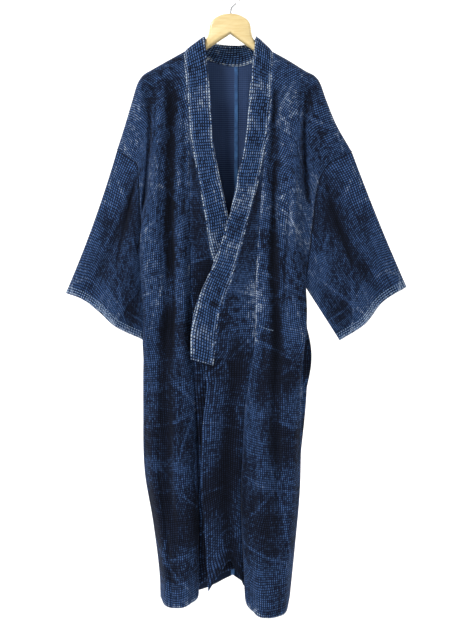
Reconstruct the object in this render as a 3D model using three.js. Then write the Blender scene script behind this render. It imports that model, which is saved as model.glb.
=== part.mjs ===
// A cotton yukata on a wooden hanger, closed left over right.
// Millimetres, +Z up, the viewer looks along +Y at the front.
// The origin is the inside top of the hanger's hook.
import * as THREE from 'three';

// Main sizes of the cloth
const WALL = 1.8;
const COLLAR_WALL = 3;
const STRIP_WALL = 1.2;
const STRIP_WIDTH = 8;
const STRIP_START = 0.12;
const SEAM_SHIFT = 0.2;
const MITRE = 0.8;
// Shares of a piece's own width or length that it stands back from a seam
const BODY_INSET_INNER = 0.003;
const BODY_INSET_OUTER = 0.002;
const COLLAR_INSET = 0.005;
const ARMHOLE_SHIFT_TOP = 0.0015;
const ARMHOLE_SHIFT_LOW = 0.006;
const OVERLAP_POINT_INSET = 0.2;
const LAID_ON_GAP = 0.5;

// Heights of the garment. Every panel has its rows at these drops below the neck point.
const NECK_Z = -147;
const SHOULDER_DROPS = [0, 3, 9, 18, 34, 56];
const LEVEL_STEP = 39.1;
const LEVELS_BELOW = 30;
const LAST_SHOULDER_DROP = SHOULDER_DROPS[SHOULDER_DROPS.length - 1];
const DROPS = [...SHOULDER_DROPS];
for (let level = 1; level <= LEVELS_BELOW; level += 1) {
  DROPS.push(LAST_SHOULDER_DROP + LEVEL_STEP * level);
}
const LAST_ROW = DROPS.length - 1;
const LENGTH = DROPS[LAST_ROW];
const UNDERARM_ROW = 16;
const SHOULDER_ROUND = 18;
const SHOULDER_PART = 0.2;

// Columns across each piece
const BODY_COLUMNS = 11;
const OVERLAP_COLUMNS = 5;
const COLLAR_COLUMNS = 3;
const SLEEVE_RINGS = 9;

// How the cloth stands out between its edges
const BODY_SWELL = 8;
const SWELL_SHAPE = 0.8;
const FOLD_FREE_EDGE = 0.08;
const FOLD_FREE_END = 0.2;
const CUFF_HALF_DEPTH = 5;
const SLEEVE_MIDDLE_DEPTH = 9;
const SLEEVE_SWELL = 6;
const SLEEVE_FOLDS_FROM = 0.3;

// Neck and back
const NECK_ROWS = 6;
const BACK_CENTRE_X = 12;
const NECK_DEPTH = 44;
const NECK_DIP = 33;
const BACK_NECK_Z = NECK_Z - NECK_DIP;
const BACK_HEM_Z = -1350;
const COLLAR_PEAK_Z = -111;
const COLLAR_BACK_DIP = 22;
const COLLAR_BACK_DEPTH = 42;

// The outlines below are drawn on the hanger's plane, as seen from this far in front
const EYE_DISTANCE = 2000;
const EYE_Z = -764;

// Hanger
const HANGER_THICKNESS = 17;
const HANGER_ROUND = 6;
const HANGER_TILT = THREE.MathUtils.degToRad(1.0);
const HOOK_WIRE = 3.6;
const HOOK_INNER_RADIUS = 19;
const HOOK_FOOT_Z = -59.7;
const HOOK_STEM = 13;
const HOOK_STEM_LEAN = 1;
const HOOK_FROM_DEGREES = -40;
const HOOK_TO_DEGREES = 215;
const HOOK_STEP_DEGREES = 15;
const HANGER_END = { x: 200, z: -220 };
const HANGER_TOP = table('x z',
  [0, -60],
  [22, -64],
  [44, -80],
  [57, -123],
  [108, -158],
  [150, -182.5],
  [190, -208]);
const HANGER_FOOT = table('x z',
  [190, -230],
  [150, -204],
  [108, -180],
  [60, -147],
  [0, -106]);

function table(columns, ...rows) {
  const names = columns.split(' ');
  return rows.map((row) => Object.fromEntries(names.map((name, k) => [name, row[k]])));
}

function clamp(value, low, high) {
  return Math.min(Math.max(value, low), high);
}

function mix(a, b, t) {
  return a + (b - a) * t;
}

function smoothStep(low, high, value) {
  const t = clamp((value - low) / (high - low), 0, 1);
  return t * t * (3 - 2 * t);
}

// Reads a column of a table at any value of its first column, along a smooth curve
function reader(rows) {
  const key = Object.keys(rows[0])[0];
  const last = rows.length - 1;
  const turn = Math.sign(rows[last][key] - rows[0][key]);
  const slopeAt = (name, k) => {
    const before = rows[Math.max(k - 1, 0)];
    const after = rows[Math.min(k + 1, last)];
    return (after[name] - before[name]) / (after[key] - before[key]);
  };
  return (name, value) => {
    let k = 0;
    while (k < last - 1 && (value - rows[k + 1][key]) * turn > 0) {
      k += 1;
    }
    const span = rows[k + 1][key] - rows[k][key];
    const t = clamp((value - rows[k][key]) / span, 0, 1);
    const t2 = t * t;
    const t3 = t2 * t;
    return (
      rows[k][name] * (2 * t3 - 3 * t2 + 1) +
      rows[k + 1][name] * (3 * t2 - 2 * t3) +
      slopeAt(name, k) * span * (t3 - 2 * t2 + t) +
      slopeAt(name, k + 1) * span * (t3 - t2)
    );
  };
}

// The wearer's right side, which the viewer sees on the left. Its front lies underneath.
const RIGHT = {
  side: -1,
  overlapRow: 7,
  collarEndRow: 21,
  sideDrop: 226,
  collar: reader(table('z seamX seamY freeX lift freeY',
    [-147, -108, 0, -61, 36, 0],
    [-150, -108, -9, -60, 35, -10],
    [-156, -107, -14, -59, 33, -15],
    [-165, -107, -17, -58, 31, -18],
    [-198, -104, -19, -55, 20, -20],
    [-256, -99, -20, -47, 7, -23],
    [-345, -92, -22, -42, 0, -24],
    [-433, -76, -22, -28, 9, -23],
    [-525, -60, -21, -8, 9, -20],
    [-630, -42, -18, 12, 11, -15],
    [-741, -12, -13, 37, 11, -9],
    [-829, 12, -9, 60, 11, -5])),
  overlapSeam: reader(table('z x y',
    [-281, -97, -20.7],
    [-400, -96, -21],
    [-525, -95, -20],
    [-695, -93, -18],
    [-833, -88, -14],
    [-1000, -79, -10],
    [-1180, -74, -8],
    [-1376, -74, -8])),
  frontEdge: reader(table('z x y',
    [-829, 12, -9],
    [-940, 24, -3],
    [-1100, 30, 6],
    [-1376, 33, 20])),
  sideEdge: reader(table('z x front back',
    [-373, -262, 0, 0],
    [-376, -256, -4, 4],
    [-381, -248, -7, 7],
    [-388, -239, -9, 9],
    [-403, -218, -11, 11],
    [-430, -213, -13, 13],
    [-508, -209, -14, 14],
    [-603, -202, -13, 13],
    [-690, -191, -5, 5],
    [-764, -189, -2, 2],
    [-824, -200, -2, 2],
    [-962, -202, -1.8, 1.8],
    [-1100, -199, -1.6, 1.6],
    [-1210, -180, -1.4, 1.4],
    [-1320, -165, -1.2, 1.2],
    [-1389, -162, -1.1, 1.1])),
  shoulder: reader(table('u x z',
    [0, -108, -147],
    [0.2, -144, -167],
    [0.4, -181, -188],
    [0.5, -202, -201],
    [0.58, -215, -220],
    [0.7, -228, -262],
    [0.85, -244, -316],
    [1, -262, -373])),
  frontHem: reader(table('u drop',
    [0, 0],
    [0.12, 30],
    [0.3, 46],
    [0.55, 51],
    [0.88, 45],
    [1, 24])),
  backHem: reader(table('u drop',
    [0, 0],
    [0.5, 22],
    [1, 0])),
  overlapHem: reader(table('u drop',
    [0, 0],
    [0.5, -30],
    [1, -48])),
  overlapFolds: table('u0 v0 u1 v1 depth width',
    [0.5, 0.4, 0.5, 1.2, 5, 0.2]),
  frontSwell: 36,
  backSwell: 16,
  frontFolds: table('u0 v0 u1 v1 depth width',
    [0.5, 0.0, 0.97, 0.24, 12, 0.08],
    [0.62, 0.03, 0.8, 0.6, -13, 0.13],
    [0.22, 0.0, 0.5, 0.48, 14, 0.1],
    [0.48, 0.42, 0.62, 0.9, 16, 0.12],
    [0.17, 0.28, 0.16, 0.62, -12, 0.11],
    [0.3, 0.62, 0.28, 1.1, -9, 0.13],
    [0.85, 0.62, 0.86, 1.1, -8, 0.1]),
  backFolds: table('u0 v0 u1 v1 depth width',
    [0.45, 0.02, 0.4, 1.1, -12, 0.12],
    [0.7, 0.05, 0.72, 1.1, 11, 0.1],
    [0.2, 0.3, 0.17, 1.1, 8, 0.09],
    [0.5, 0.0, 0.95, 0.3, -10, 0.09]),
  frontLips: table('edge v0 v1 reach width',
    ['outer', 0.2, 0.62, 30, 0.36],
    ['inner', 0.6, 1.6, 7, 0.2]),
  backLips: [],
  cuff: reader(table('q x z',
    [0, -380, -702],
    [0.19, -343, -716],
    [0.41, -306, -743],
    [0.68, -265, -780],
    [1, -203, -809])),
  sleeveSag: 6,
  sleeveFolds: table('u0 v0 u1 v1 depth width',
    [0.3, -0.1, 0.22, 1.1, 6, 0.08],
    [0.62, 0.1, 0.55, 1.1, -7, 0.12],
    [0.85, 0.0, 0.85, 1.1, 5, 0.08]),
};

// The wearer's left side, which the viewer sees on the right. Its front lies on top.
const LEFT = {
  side: 1,
  overlapRow: 9,
  collarEndRow: 22,
  sideDrop: 230,
  collar: reader(table('z seamX seamY freeX lift freeY',
    [-147, 96, 0, 58, 36, 0],
    [-150, 96, -9, 57, 35, -10],
    [-156, 95, -14, 55, 33, -15],
    [-165, 95, -17, 54, 31, -18],
    [-198, 93, -19, 50, 22, -20],
    [-256, 90, -21, 42, 7, -24],
    [-345, 81, -26, 34, 5, -28],
    [-433, 64, -32, 17, 9, -34],
    [-538, 37, -40, -4, 14, -42],
    [-642, 9, -46, -37, 17, -48],
    [-750, -27, -51, -78, 28, -53],
    [-808, -36, -53, -91, 29, -55],
    [-867, -43, -54, -94, 14, -56])),
  overlapSeam: reader(table('z x y',
    [-359, 78.6, -27],
    [-488, 68, -28],
    [-672, 57, -27],
    [-810, 54, -24],
    [-902, 41, -18],
    [-971, 31, -10],
    [-1077, 26, -3],
    [-1180, 22, 0],
    [-1376, 31, 2])),
  frontEdge: reader(table('z x y',
    [-867, -43, -54],
    [-880, -60, -54],
    [-913, -55, -51],
    [-982, -62, -46],
    [-1040, -67, -44],
    [-1130, -68, -42],
    [-1217, -62, -40],
    [-1290, -57, -38],
    [-1376, -52, -38])),
  sideEdge: reader(table('z x front back',
    [-377, 278, 0, 0],
    [-380, 271, -4, 4],
    [-385, 261, -7, 7],
    [-391, 249, -9, 9],
    [-399, 232, -11, 11],
    [-418, 214, -13, 13],
    [-442, 203, -14, 14],
    [-488, 194, -14, 14],
    [-557, 186, -13, 13],
    [-630, 177, -9, 9],
    [-690, 168, -4, 4],
    [-764, 166, -2, 2],
    [-897, 161, -8, -4.6],
    [-1060, 161, -8, -4.8],
    [-1155, 158, -3, 0],
    [-1270, 147, -1.3, 1.3],
    [-1389, 134, -1.1, 1.1])),
  shoulder: reader(table('u x z',
    [0, 96, -147],
    [0.2, 134, -168],
    [0.4, 171, -191],
    [0.5, 193, -203],
    [0.58, 205, -219],
    [0.7, 218, -255],
    [0.85, 243, -316],
    [1, 278, -377])),
  frontHem: reader(table('u drop',
    [0, 0],
    [0.1, 40],
    [0.25, 66],
    [0.45, 74],
    [0.75, 70],
    [0.93, 57],
    [1, 24])),
  backHem: reader(table('u drop',
    [0, 0],
    [0.5, 26],
    [1, 0])),
  overlapHem: reader(table('u drop',
    [0, 0],
    [0.2, -30],
    [0.4, -58],
    [0.7, -26],
    [1, 12])),
  overlapFolds: table('u0 v0 u1 v1 depth width',
    [0.3, 0.5, 0.35, 1.2, 9, 0.17],
    [0.75, 0.55, 0.7, 1.2, -6, 0.16]),
  frontSwell: 40,
  backSwell: 16,
  frontFolds: table('u0 v0 u1 v1 depth width',
    [0.5, 0.0, 0.95, 0.22, 12, 0.08],
    [0.58, 0.03, 0.86, 0.62, -13, 0.12],
    [0.05, 0.02, 0.4, 0.46, 14, 0.09],
    [0.37, 0.38, 0.7, 0.9, 16, 0.1],
    [0.3, 0.62, 0.3, 1.1, -10, 0.14],
    [0.88, 0.62, 0.86, 1.1, -8, 0.09]),
  backFolds: table('u0 v0 u1 v1 depth width',
    [0.4, 0.02, 0.42, 1.1, -12, 0.12],
    [0.68, 0.05, 0.7, 1.1, 12, 0.1],
    [0.2, 0.35, 0.2, 1.1, 7, 0.09],
    [0.5, 0.0, 0.95, 0.3, -10, 0.09]),
  frontLips: table('edge v0 v1 reach width',
    ['outer', 0.3, 0.64, 24, 0.3],
    ['inner', 0.62, 1.6, 7, 0.2]),
  backLips: table('edge v0 v1 reach width',
    ['outer', 0.36, 0.8, 29, 0.2],
    ['outer', 0.5, 0.62, 9, 0.12]),
  cuff: reader(table('q x z',
    [0, 404, -688],
    [0.32, 350, -722],
    [0.67, 306, -775],
    [1, 250, -811])),
  sleeveSag: -3,
  sleeveFolds: table('u0 v0 u1 v1 depth width',
    [0.35, -0.1, 0.3, 1.1, 6, 0.09],
    [0.65, 0.1, 0.6, 1.1, -7, 0.12],
    [0.85, 0.0, 0.85, 1.1, 5, 0.08]),
};

const backCentre = reader(table('z x y',
  [-180, 12, 44],
  [-300, 12, 38],
  [-600, 11, 40],
  [-1000, 8, 48],
  [-1350, 4, 60]));

// Moves a point of the drawn outline to its depth, along the line of sight
function placed(point) {
  const spread = 1 + point.y / EYE_DISTANCE;
  return new THREE.Vector3(point.x * spread, point.y, EYE_Z + (point.z - EYE_Z) * spread);
}

function between(a, b, t) {
  return { x: mix(a.x, b.x, t), y: mix(a.y, b.y, t), z: mix(a.z, b.z, t) };
}

function collarSeam(half, z) {
  return { x: half.collar('seamX', z), y: half.collar('seamY', z), z };
}

function collarFree(half, z) {
  return { x: half.collar('freeX', z), y: half.collar('freeY', z), z: z + half.collar('lift', z) };
}

function edgeAt(edge, z) {
  return { x: edge('x', z), y: edge('y', z), z };
}

// Front edge of a body length: under the collar first, then along the overlap's seam
function bodyFrontInner(half, row) {
  const z = NECK_Z - DROPS[row];
  return row <= half.overlapRow ? collarSeam(half, z) : edgeAt(half.overlapSeam, z);
}

// Neck curve from the shoulder to the centre back, then down the centre-back seam
function neckSeam(half, row) {
  const angle = (Math.PI / 2) * (row / NECK_ROWS);
  const shoulder = half.shoulder('x', 0);
  return {
    x: BACK_CENTRE_X + (shoulder - BACK_CENTRE_X) * Math.cos(angle),
    y: NECK_DEPTH * Math.sin(angle),
    z: NECK_Z - NECK_DIP * Math.sin(angle) ** 3,
  };
}

function neckFree(half, row) {
  const angle = (Math.PI / 2) * (row / NECK_ROWS);
  const peak = half.collar('freeX', NECK_Z);
  return {
    x: BACK_CENTRE_X + (peak - BACK_CENTRE_X) * Math.cos(angle),
    y: COLLAR_BACK_DEPTH * Math.sin(angle),
    z: COLLAR_PEAK_Z - COLLAR_BACK_DIP * Math.sin(angle),
  };
}

function bodyBackInner(half, row) {
  if (row <= NECK_ROWS) {
    return neckSeam(half, row);
  }
  const part = (DROPS[row] - DROPS[NECK_ROWS]) / (LENGTH - DROPS[NECK_ROWS]);
  const z = mix(BACK_NECK_Z, BACK_HEM_Z, part);
  return edgeAt(backCentre, z);
}

// Armhole and side seam, front or back face
function bodyOuter(half, row, face) {
  const v = DROPS[row] / LENGTH;
  const z = NECK_Z - DROPS[row] - half.sideDrop * (1 - v) ** 3;
  return { x: half.sideEdge('x', z), y: half.sideEdge(face, z), z };
}

function foldDepth(folds, u, v) {
  const inside = smoothStep(0, FOLD_FREE_EDGE, u) * smoothStep(0, FOLD_FREE_EDGE, 1 - u);
  let depth = 0;
  for (const fold of folds) {
    const along = (v - fold.v0) / (fold.v1 - fold.v0);
    const fade = smoothStep(0, FOLD_FREE_END, along) * smoothStep(0, FOLD_FREE_END, 1 - along);
    const middle = mix(fold.u0, fold.u1, along);
    depth += fold.depth * fade * Math.exp(-(((u - middle) / fold.width) ** 2));
  }
  return depth * inside;
}

function lipReach(lips, u, v) {
  let reach = 0;
  for (const lip of lips) {
    const along = clamp((v - lip.v0) / (lip.v1 - lip.v0), 0, 1);
    const fromEdge = lip.edge === 'outer' ? 1 - u : u;
    const across = clamp(fromEdge / lip.width, 0, 1);
    const way = lip.edge === 'outer' ? 1 : -1;
    reach += way * lip.reach * Math.sin(Math.PI * along) * Math.sin(Math.PI * across);
  }
  return reach;
}

// How far the cloth has rounded over the shoulder at this drop, from 0 to 1
function roundedOver(drop) {
  const rest = 1 - Math.min(drop / SHOULDER_ROUND, 1);
  return Math.sqrt(1 - rest * rest);
}

// A point of a body length, u from its inner to its outer edge
function bodyPoint(half, face, row, u) {
  const front = face === 'front';
  const v = DROPS[row] / LENGTH;
  const innerAt = front ? bodyFrontInner : bodyBackInner;
  const point = between(innerAt(half, row), bodyOuter(half, row, face), u);
  const straight = between(innerAt(half, 0), bodyOuter(half, 0, face), u);
  const topFade = (1 - v) ** 3;
  point.x += (half.shoulder('x', u) - straight.x) * topFade;
  point.z += (half.shoulder('z', u) - straight.z) * topFade;
  const hem = front ? half.frontHem : half.backHem;
  point.z -= hem('drop', u) * v ** 4;
  const swell = BODY_SWELL + (front ? half.frontSwell : half.backSwell) * v * v;
  const rise = swell * Math.sin(Math.PI * u) ** SWELL_SHAPE * roundedOver(DROPS[row]);
  point.y += front ? -rise : rise;
  const folds = front ? half.frontFolds : half.backFolds;
  point.y += foldDepth(folds, u, v);
  const lips = front ? half.frontLips : half.backLips;
  point.x += half.side * lipReach(lips, u, v);
  return placed(point);
}

// A closed wall of one thickness behind a grid of outer points, grid[row][column].
// A ring has its last column joined to the first. The mitre draws the inner face's edges back.
// A wall parted on a fold has its first row's thickness straight down from the fold.
function wall(grid, thickness, { ring = false, flip = false, mitre = true, foldFirst = false } = {}) {
  const rows = grid.length;
  const columns = grid[0].length;
  const at = (i, j) => grid[i][ring ? (j + columns) % columns : clamp(j, 0, columns - 1)];
  const positions = [];
  const inner = [];
  for (let i = 0; i < rows; i += 1) {
    for (let j = 0; j < columns; j += 1) {
      const along = at(Math.min(i + 1, rows - 1), j).clone().sub(at(Math.max(i - 1, 0), j));
      const across = at(i, j + 1).clone().sub(at(i, j - 1));
      const normal = across.clone().cross(along).normalize();
      if (flip) {
        normal.negate();
      }
      if (foldFirst && i === 0) {
        normal.setY(0).normalize();
      }
      const point = at(i, j).clone().addScaledVector(normal, -thickness);
      if (mitre && !ring && (j === 0 || j === columns - 1)) {
        point.addScaledVector(across.clone().normalize(), j === 0 ? MITRE : -MITRE);
      }
      if (mitre && !foldFirst && (i === 0 || i === rows - 1)) {
        point.addScaledVector(along.clone().normalize(), i === 0 ? MITRE : -MITRE);
      }
      positions.push(...at(i, j).toArray());
      inner.push(...point.toArray());
    }
  }
  const half = rows * columns;
  const id = (i, j, side) => side * half + i * columns + (j % columns);
  const faces = [];
  const quad = (a, b, c, d) => {
    if (flip) {
      faces.push(a, c, b, a, d, c);
    } else {
      faces.push(a, b, c, a, c, d);
    }
  };
  const lastColumn = ring ? columns : columns - 1;
  for (let i = 0; i < rows - 1; i += 1) {
    for (let j = 0; j < lastColumn; j += 1) {
      quad(id(i, j, 0), id(i, j + 1, 0), id(i + 1, j + 1, 0), id(i + 1, j, 0));
      quad(id(i, j, 1), id(i + 1, j, 1), id(i + 1, j + 1, 1), id(i, j + 1, 1));
    }
    if (!ring) {
      quad(id(i, 0, 0), id(i + 1, 0, 0), id(i + 1, 0, 1), id(i, 0, 1));
      const end = columns - 1;
      quad(id(i, end, 0), id(i, end, 1), id(i + 1, end, 1), id(i + 1, end, 0));
    }
  }
  for (let j = 0; j < lastColumn; j += 1) {
    const bottom = rows - 1;
    quad(id(0, j, 0), id(0, j, 1), id(0, j + 1, 1), id(0, j + 1, 0));
    quad(id(bottom, j, 0), id(bottom, j + 1, 0), id(bottom, j + 1, 1), id(bottom, j, 1));
  }
  const geometry = new THREE.BufferGeometry();
  const all = new Float32Array([...positions, ...inner]);
  geometry.setAttribute('position', new THREE.BufferAttribute(all, 3));
  geometry.setIndex(faces);
  geometry.computeVertexNormals();
  return geometry;
}

function cloth(color) {
  return new THREE.MeshStandardMaterial({ color, roughness: 0.92, metalness: 0 });
}

// The first and last column of a body panel stand half a seam's gap back from the seam
function bodyColumn(k) {
  return clamp(k / BODY_COLUMNS, BODY_INSET_INNER, 1 - BODY_INSET_OUTER);
}

// The front or the back of a body length, parted along the top of the shoulder.
// The real cloth runs on there with no seam.
function bodyPanel(half, face) {
  const front = face === 'front';
  const grid = [];
  for (let row = 0; row <= LAST_ROW; row += 1) {
    const points = [];
    for (let k = 0; k <= BODY_COLUMNS; k += 1) {
      const point = bodyPoint(half, face, row, bodyColumn(k));
      if (row === 0) {
        point.y += front ? -SHOULDER_PART : SHOULDER_PART;
      }
      points.push(point);
    }
    grid.push(points);
  }
  return wall(grid, WALL, { flip: front === (half.side > 0), foldFirst: true });
}

// An overlap panel, from its point under the collar to the hem
function overlapPanel(half) {
  const first = half.overlapRow;
  const seamAt = (row) => bodyFrontInner(half, row);
  const freeAt = (row) => {
    const z = NECK_Z - DROPS[row];
    return row <= half.collarEndRow ? collarSeam(half, z) : edgeAt(half.frontEdge, z);
  };
  const pointOf = (lineAt) => between(lineAt(first), lineAt(first + 1), OVERLAP_POINT_INSET);
  const lines = [[pointOf(seamAt), pointOf(freeAt)]];
  for (let row = first + 1; row <= LAST_ROW; row += 1) {
    lines.push([seamAt(row), freeAt(row)]);
  }
  const grid = lines.map(([seam, edge]) => {
    const width = Math.hypot(edge.x - seam.x, edge.y - seam.y);
    const inset = SEAM_SHIFT / width;
    const v = (NECK_Z - seam.z) / LENGTH;
    const points = [];
    for (let k = 0; k <= OVERLAP_COLUMNS; k += 1) {
      const u = k / OVERLAP_COLUMNS;
      const point = between(seam, edge, mix(inset, 1 - inset, u));
      point.z -= half.overlapHem('drop', u) * v ** 6;
      point.y += foldDepth(half.overlapFolds, u, v);
      points.push(placed(point));
    }
    return points;
  });
  return wall(grid, WALL, { flip: half.side > 0 });
}

// The collar band, from the end of the right front, round the neck, to the end of the left front
function collarBand() {
  const lines = [];
  for (let row = RIGHT.collarEndRow; row >= 0; row -= 1) {
    const z = NECK_Z - DROPS[row];
    lines.push([collarSeam(RIGHT, z), collarFree(RIGHT, z)]);
  }
  for (let row = 1; row <= NECK_ROWS; row += 1) {
    lines.push([neckSeam(RIGHT, row), neckFree(RIGHT, row)]);
  }
  for (let row = NECK_ROWS - 1; row >= 1; row -= 1) {
    lines.push([neckSeam(LEFT, row), neckFree(LEFT, row)]);
  }
  for (let row = 0; row <= LEFT.collarEndRow; row += 1) {
    const z = NECK_Z - DROPS[row];
    lines.push([collarSeam(LEFT, z), collarFree(LEFT, z)]);
  }
  const grid = lines.map(([seam, free]) => {
    const points = [];
    for (let k = 0; k <= COLLAR_COLUMNS; k += 1) {
      const across = mix(COLLAR_INSET, 1, k / COLLAR_COLUMNS);
      points.push(placed(between(seam, free, across)));
    }
    return points;
  });
  return wall(grid, COLLAR_WALL);
}

// A sleeve: a flat tube from the armhole to the cuff
function sleeveTube(half) {
  const stations = [];
  for (let row = 0; row <= UNDERARM_ROW; row += 1) {
    stations.push({ face: 'front', row });
  }
  for (let row = UNDERARM_ROW; row >= 1; row -= 1) {
    stations.push({ face: 'back', row });
  }
  const grid = [];
  for (let ring = 0; ring <= SLEEVE_RINGS; ring += 1) {
    grid.push(stations.map(({ face, row }) => {
      const q = DROPS[row] / DROPS[UNDERARM_ROW];
      const v = mix(mix(ARMHOLE_SHIFT_TOP, ARMHOLE_SHIFT_LOW, q), 1, ring / SLEEVE_RINGS);
      const way = face === 'front' ? -1 : 1;
      const swell = CUFF_HALF_DEPTH + SLEEVE_MIDDLE_DEPTH * Math.sin(Math.PI * q);
      const depth = roundedOver(DROPS[row]) * swell;
      const end = { x: half.cuff('x', q), y: way * depth, z: half.cuff('z', q) };
      const point = between(bodyOuter(half, row, face), end, v);
      point.x += half.sleeveSag * 4 * v * (1 - v) * (1 - q);
      point.y += way * SLEEVE_SWELL * Math.sin(Math.PI * v) * Math.sin(Math.PI * q);
      point.y += foldDepth(half.sleeveFolds, q, v) * smoothStep(0, SLEEVE_FOLDS_FROM, v);
      return placed(point);
    }));
  }
  return wall(grid, WALL, { ring: true, flip: half.side < 0 });
}

// The strip over the inside of the centre-back seam
function backSeamStrip() {
  const inward = WALL + LAID_ON_GAP + STRIP_WALL;
  const reach = STRIP_WIDTH / 2;
  const grid = [];
  for (let row = NECK_ROWS; row <= LAST_ROW; row += 1) {
    const centre = placed(bodyBackInner(RIGHT, row));
    const sides = [RIGHT, LEFT].map((half) => {
      const outer = bodyPoint(half, 'back', row, 1);
      const u = reach / Math.abs(outer.x - centre.x);
      const side = bodyPoint(half, 'back', row, u);
      return new THREE.Vector3(centre.x + half.side * reach, side.y - inward, side.z);
    });
    const middle = new THREE.Vector3(centre.x, centre.y - inward, centre.z);
    grid.push([sides[0], middle, sides[1]]);
  }
  // It starts a little below the collar's seam
  grid[0] = grid[0].map((point, k) => point.lerp(grid[1][k], STRIP_START));
  return wall(grid, STRIP_WALL, { flip: true, mitre: false });
}

// The wooden hanger: an arch and two arms, one board with rounded edges
function hangerWood() {
  const curve = (rows) => new THREE.SplineCurve(rows.map((row) => new THREE.Vector2(row.x, row.z)));
  const top = curve(HANGER_TOP).getPoints(24);
  const foot = curve(HANGER_FOOT).getPoints(12);
  const right = [...top, new THREE.Vector2(HANGER_END.x, HANGER_END.z), ...foot];
  const left = right.slice(1, -1).reverse().map((point) => new THREE.Vector2(-point.x, point.y));
  const shape = new THREE.Shape([...right, ...left]);
  const geometry = new THREE.ExtrudeGeometry(shape, {
    depth: HANGER_THICKNESS - 2 * HANGER_ROUND,
    bevelEnabled: true,
    bevelThickness: HANGER_ROUND,
    bevelSize: HANGER_ROUND,
    bevelOffset: -HANGER_ROUND,
    bevelSegments: 3,
  });
  geometry.translate(0, 0, -HANGER_THICKNESS / 2 + HANGER_ROUND);
  geometry.rotateX(Math.PI / 2);
  geometry.rotateY(HANGER_TILT);
  return geometry;
}

// The hook: one bent wire, its inside top at the origin
function hangerHook() {
  const wire = HOOK_WIRE / 2;
  const radius = HOOK_INNER_RADIUS + wire;
  const centreZ = -HOOK_INNER_RADIUS;
  const points = [
    new THREE.Vector3(0, 0, HOOK_FOOT_Z),
    new THREE.Vector3(0, 0, HOOK_FOOT_Z + HOOK_STEM / 2),
    new THREE.Vector3(HOOK_STEM_LEAN, 0, HOOK_FOOT_Z + HOOK_STEM),
  ];
  for (let degrees = HOOK_FROM_DEGREES; degrees <= HOOK_TO_DEGREES; degrees += HOOK_STEP_DEGREES) {
    const angle = THREE.MathUtils.degToRad(degrees);
    points.push(new THREE.Vector3(radius * Math.cos(angle), 0, centreZ + radius * Math.sin(angle)));
  }
  const path = new THREE.CatmullRomCurve3(points, false, 'centripetal');
  const section = new THREE.Shape();
  section.absarc(0, 0, wire, 0, 2 * Math.PI);
  return new THREE.ExtrudeGeometry(section, {
    steps: 36,
    curveSegments: 4,
    extrudePath: path,
    bevelEnabled: false,
  });
}

const yukata = new THREE.Group();

function add(name, geometry, material) {
  const mesh = new THREE.Mesh(geometry, material);
  mesh.name = name;
  yukata.add(mesh);
}

for (const face of ['front', 'back']) {
  add(`body_right_${face}`, bodyPanel(RIGHT, face), cloth(0x1b2a4e));
  add(`body_left_${face}`, bodyPanel(LEFT, face), cloth(0x1d2d52));
}
add('overlap_right', overlapPanel(RIGHT), cloth(0x18264a));
add('overlap_left', overlapPanel(LEFT), cloth(0x1c2c52));
add('sleeve_right', sleeveTube(RIGHT), cloth(0x1e2f55));
add('sleeve_left', sleeveTube(LEFT), cloth(0x1e2f55));
add('collar', collarBand(), cloth(0x2a4068));
add('back_seam_strip', backSeamStrip(), cloth(0x3b6ea5));
const wood = new THREE.MeshStandardMaterial({ color: 0xe9cf9a, roughness: 0.5, metalness: 0 });
const wire = new THREE.MeshStandardMaterial({ color: 0xc8cacc, roughness: 0.3, metalness: 1 });
add('hanger_wood', hangerWood(), wood);
add('hanger_hook', hangerHook(), wire);

export default yukata;
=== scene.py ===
# %% [markdown]
# A yukata on a wooden hanger. The imported solids give each piece its place and its size.
# Here every piece of cloth is made again as a fine thin shell on the same form, and gets its
# weave, its creases and its sewing. The first cell loads the solids.

# %% Load the frame
import math

import bpy
import numpy as np
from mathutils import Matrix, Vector


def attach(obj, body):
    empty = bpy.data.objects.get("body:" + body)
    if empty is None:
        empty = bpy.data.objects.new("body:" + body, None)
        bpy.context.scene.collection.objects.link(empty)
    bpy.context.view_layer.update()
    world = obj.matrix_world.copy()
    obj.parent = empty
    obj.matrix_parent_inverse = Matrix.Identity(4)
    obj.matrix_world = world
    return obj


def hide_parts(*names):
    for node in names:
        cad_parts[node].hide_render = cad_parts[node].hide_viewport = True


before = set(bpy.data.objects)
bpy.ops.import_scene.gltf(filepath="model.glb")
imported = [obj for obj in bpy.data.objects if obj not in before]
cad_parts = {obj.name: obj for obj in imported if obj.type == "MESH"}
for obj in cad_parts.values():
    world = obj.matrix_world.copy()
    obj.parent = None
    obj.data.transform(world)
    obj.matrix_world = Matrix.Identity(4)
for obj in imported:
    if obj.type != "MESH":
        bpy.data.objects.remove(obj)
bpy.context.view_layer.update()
bpy.ops.object.select_all(action="DESELECT")

# %% [markdown]
# The eye stands two metres in front of the hanger, level, at the middle of the garment's height.
# The frame's height there is 640 rows of 2.3 mm. The lens follows from those sizes, so the
# camera needs no shift.

# %% Camera
MM = 0.001
ROW_SIZE = 2.3 * MM
FRAME_ROWS = 640
EYE_DISTANCE = 2.0
EYE_X = -1.15 * MM
EYE_Z = -764 * MM
SENSOR_HEIGHT = 24.0

bpy.ops.object.camera_add(location=(EYE_X, -EYE_DISTANCE, EYE_Z), rotation=(math.radians(90), 0, 0))
camera = bpy.context.object
camera.name = "camera"
camera.data.sensor_fit = "VERTICAL"
camera.data.sensor_height = SENSOR_HEIGHT
camera.data.lens = SENSOR_HEIGHT * EYE_DISTANCE / (FRAME_ROWS * ROW_SIZE)
bpy.context.scene.camera = camera
print("lens", round(camera.data.lens, 2), "mm")

# %% [markdown]
# The studio is a pale floor that turns up into a pale wall well behind the garment, with large
# soft lamps. The wall is far enough back that the garment's shadow on it is only a breath.

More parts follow.
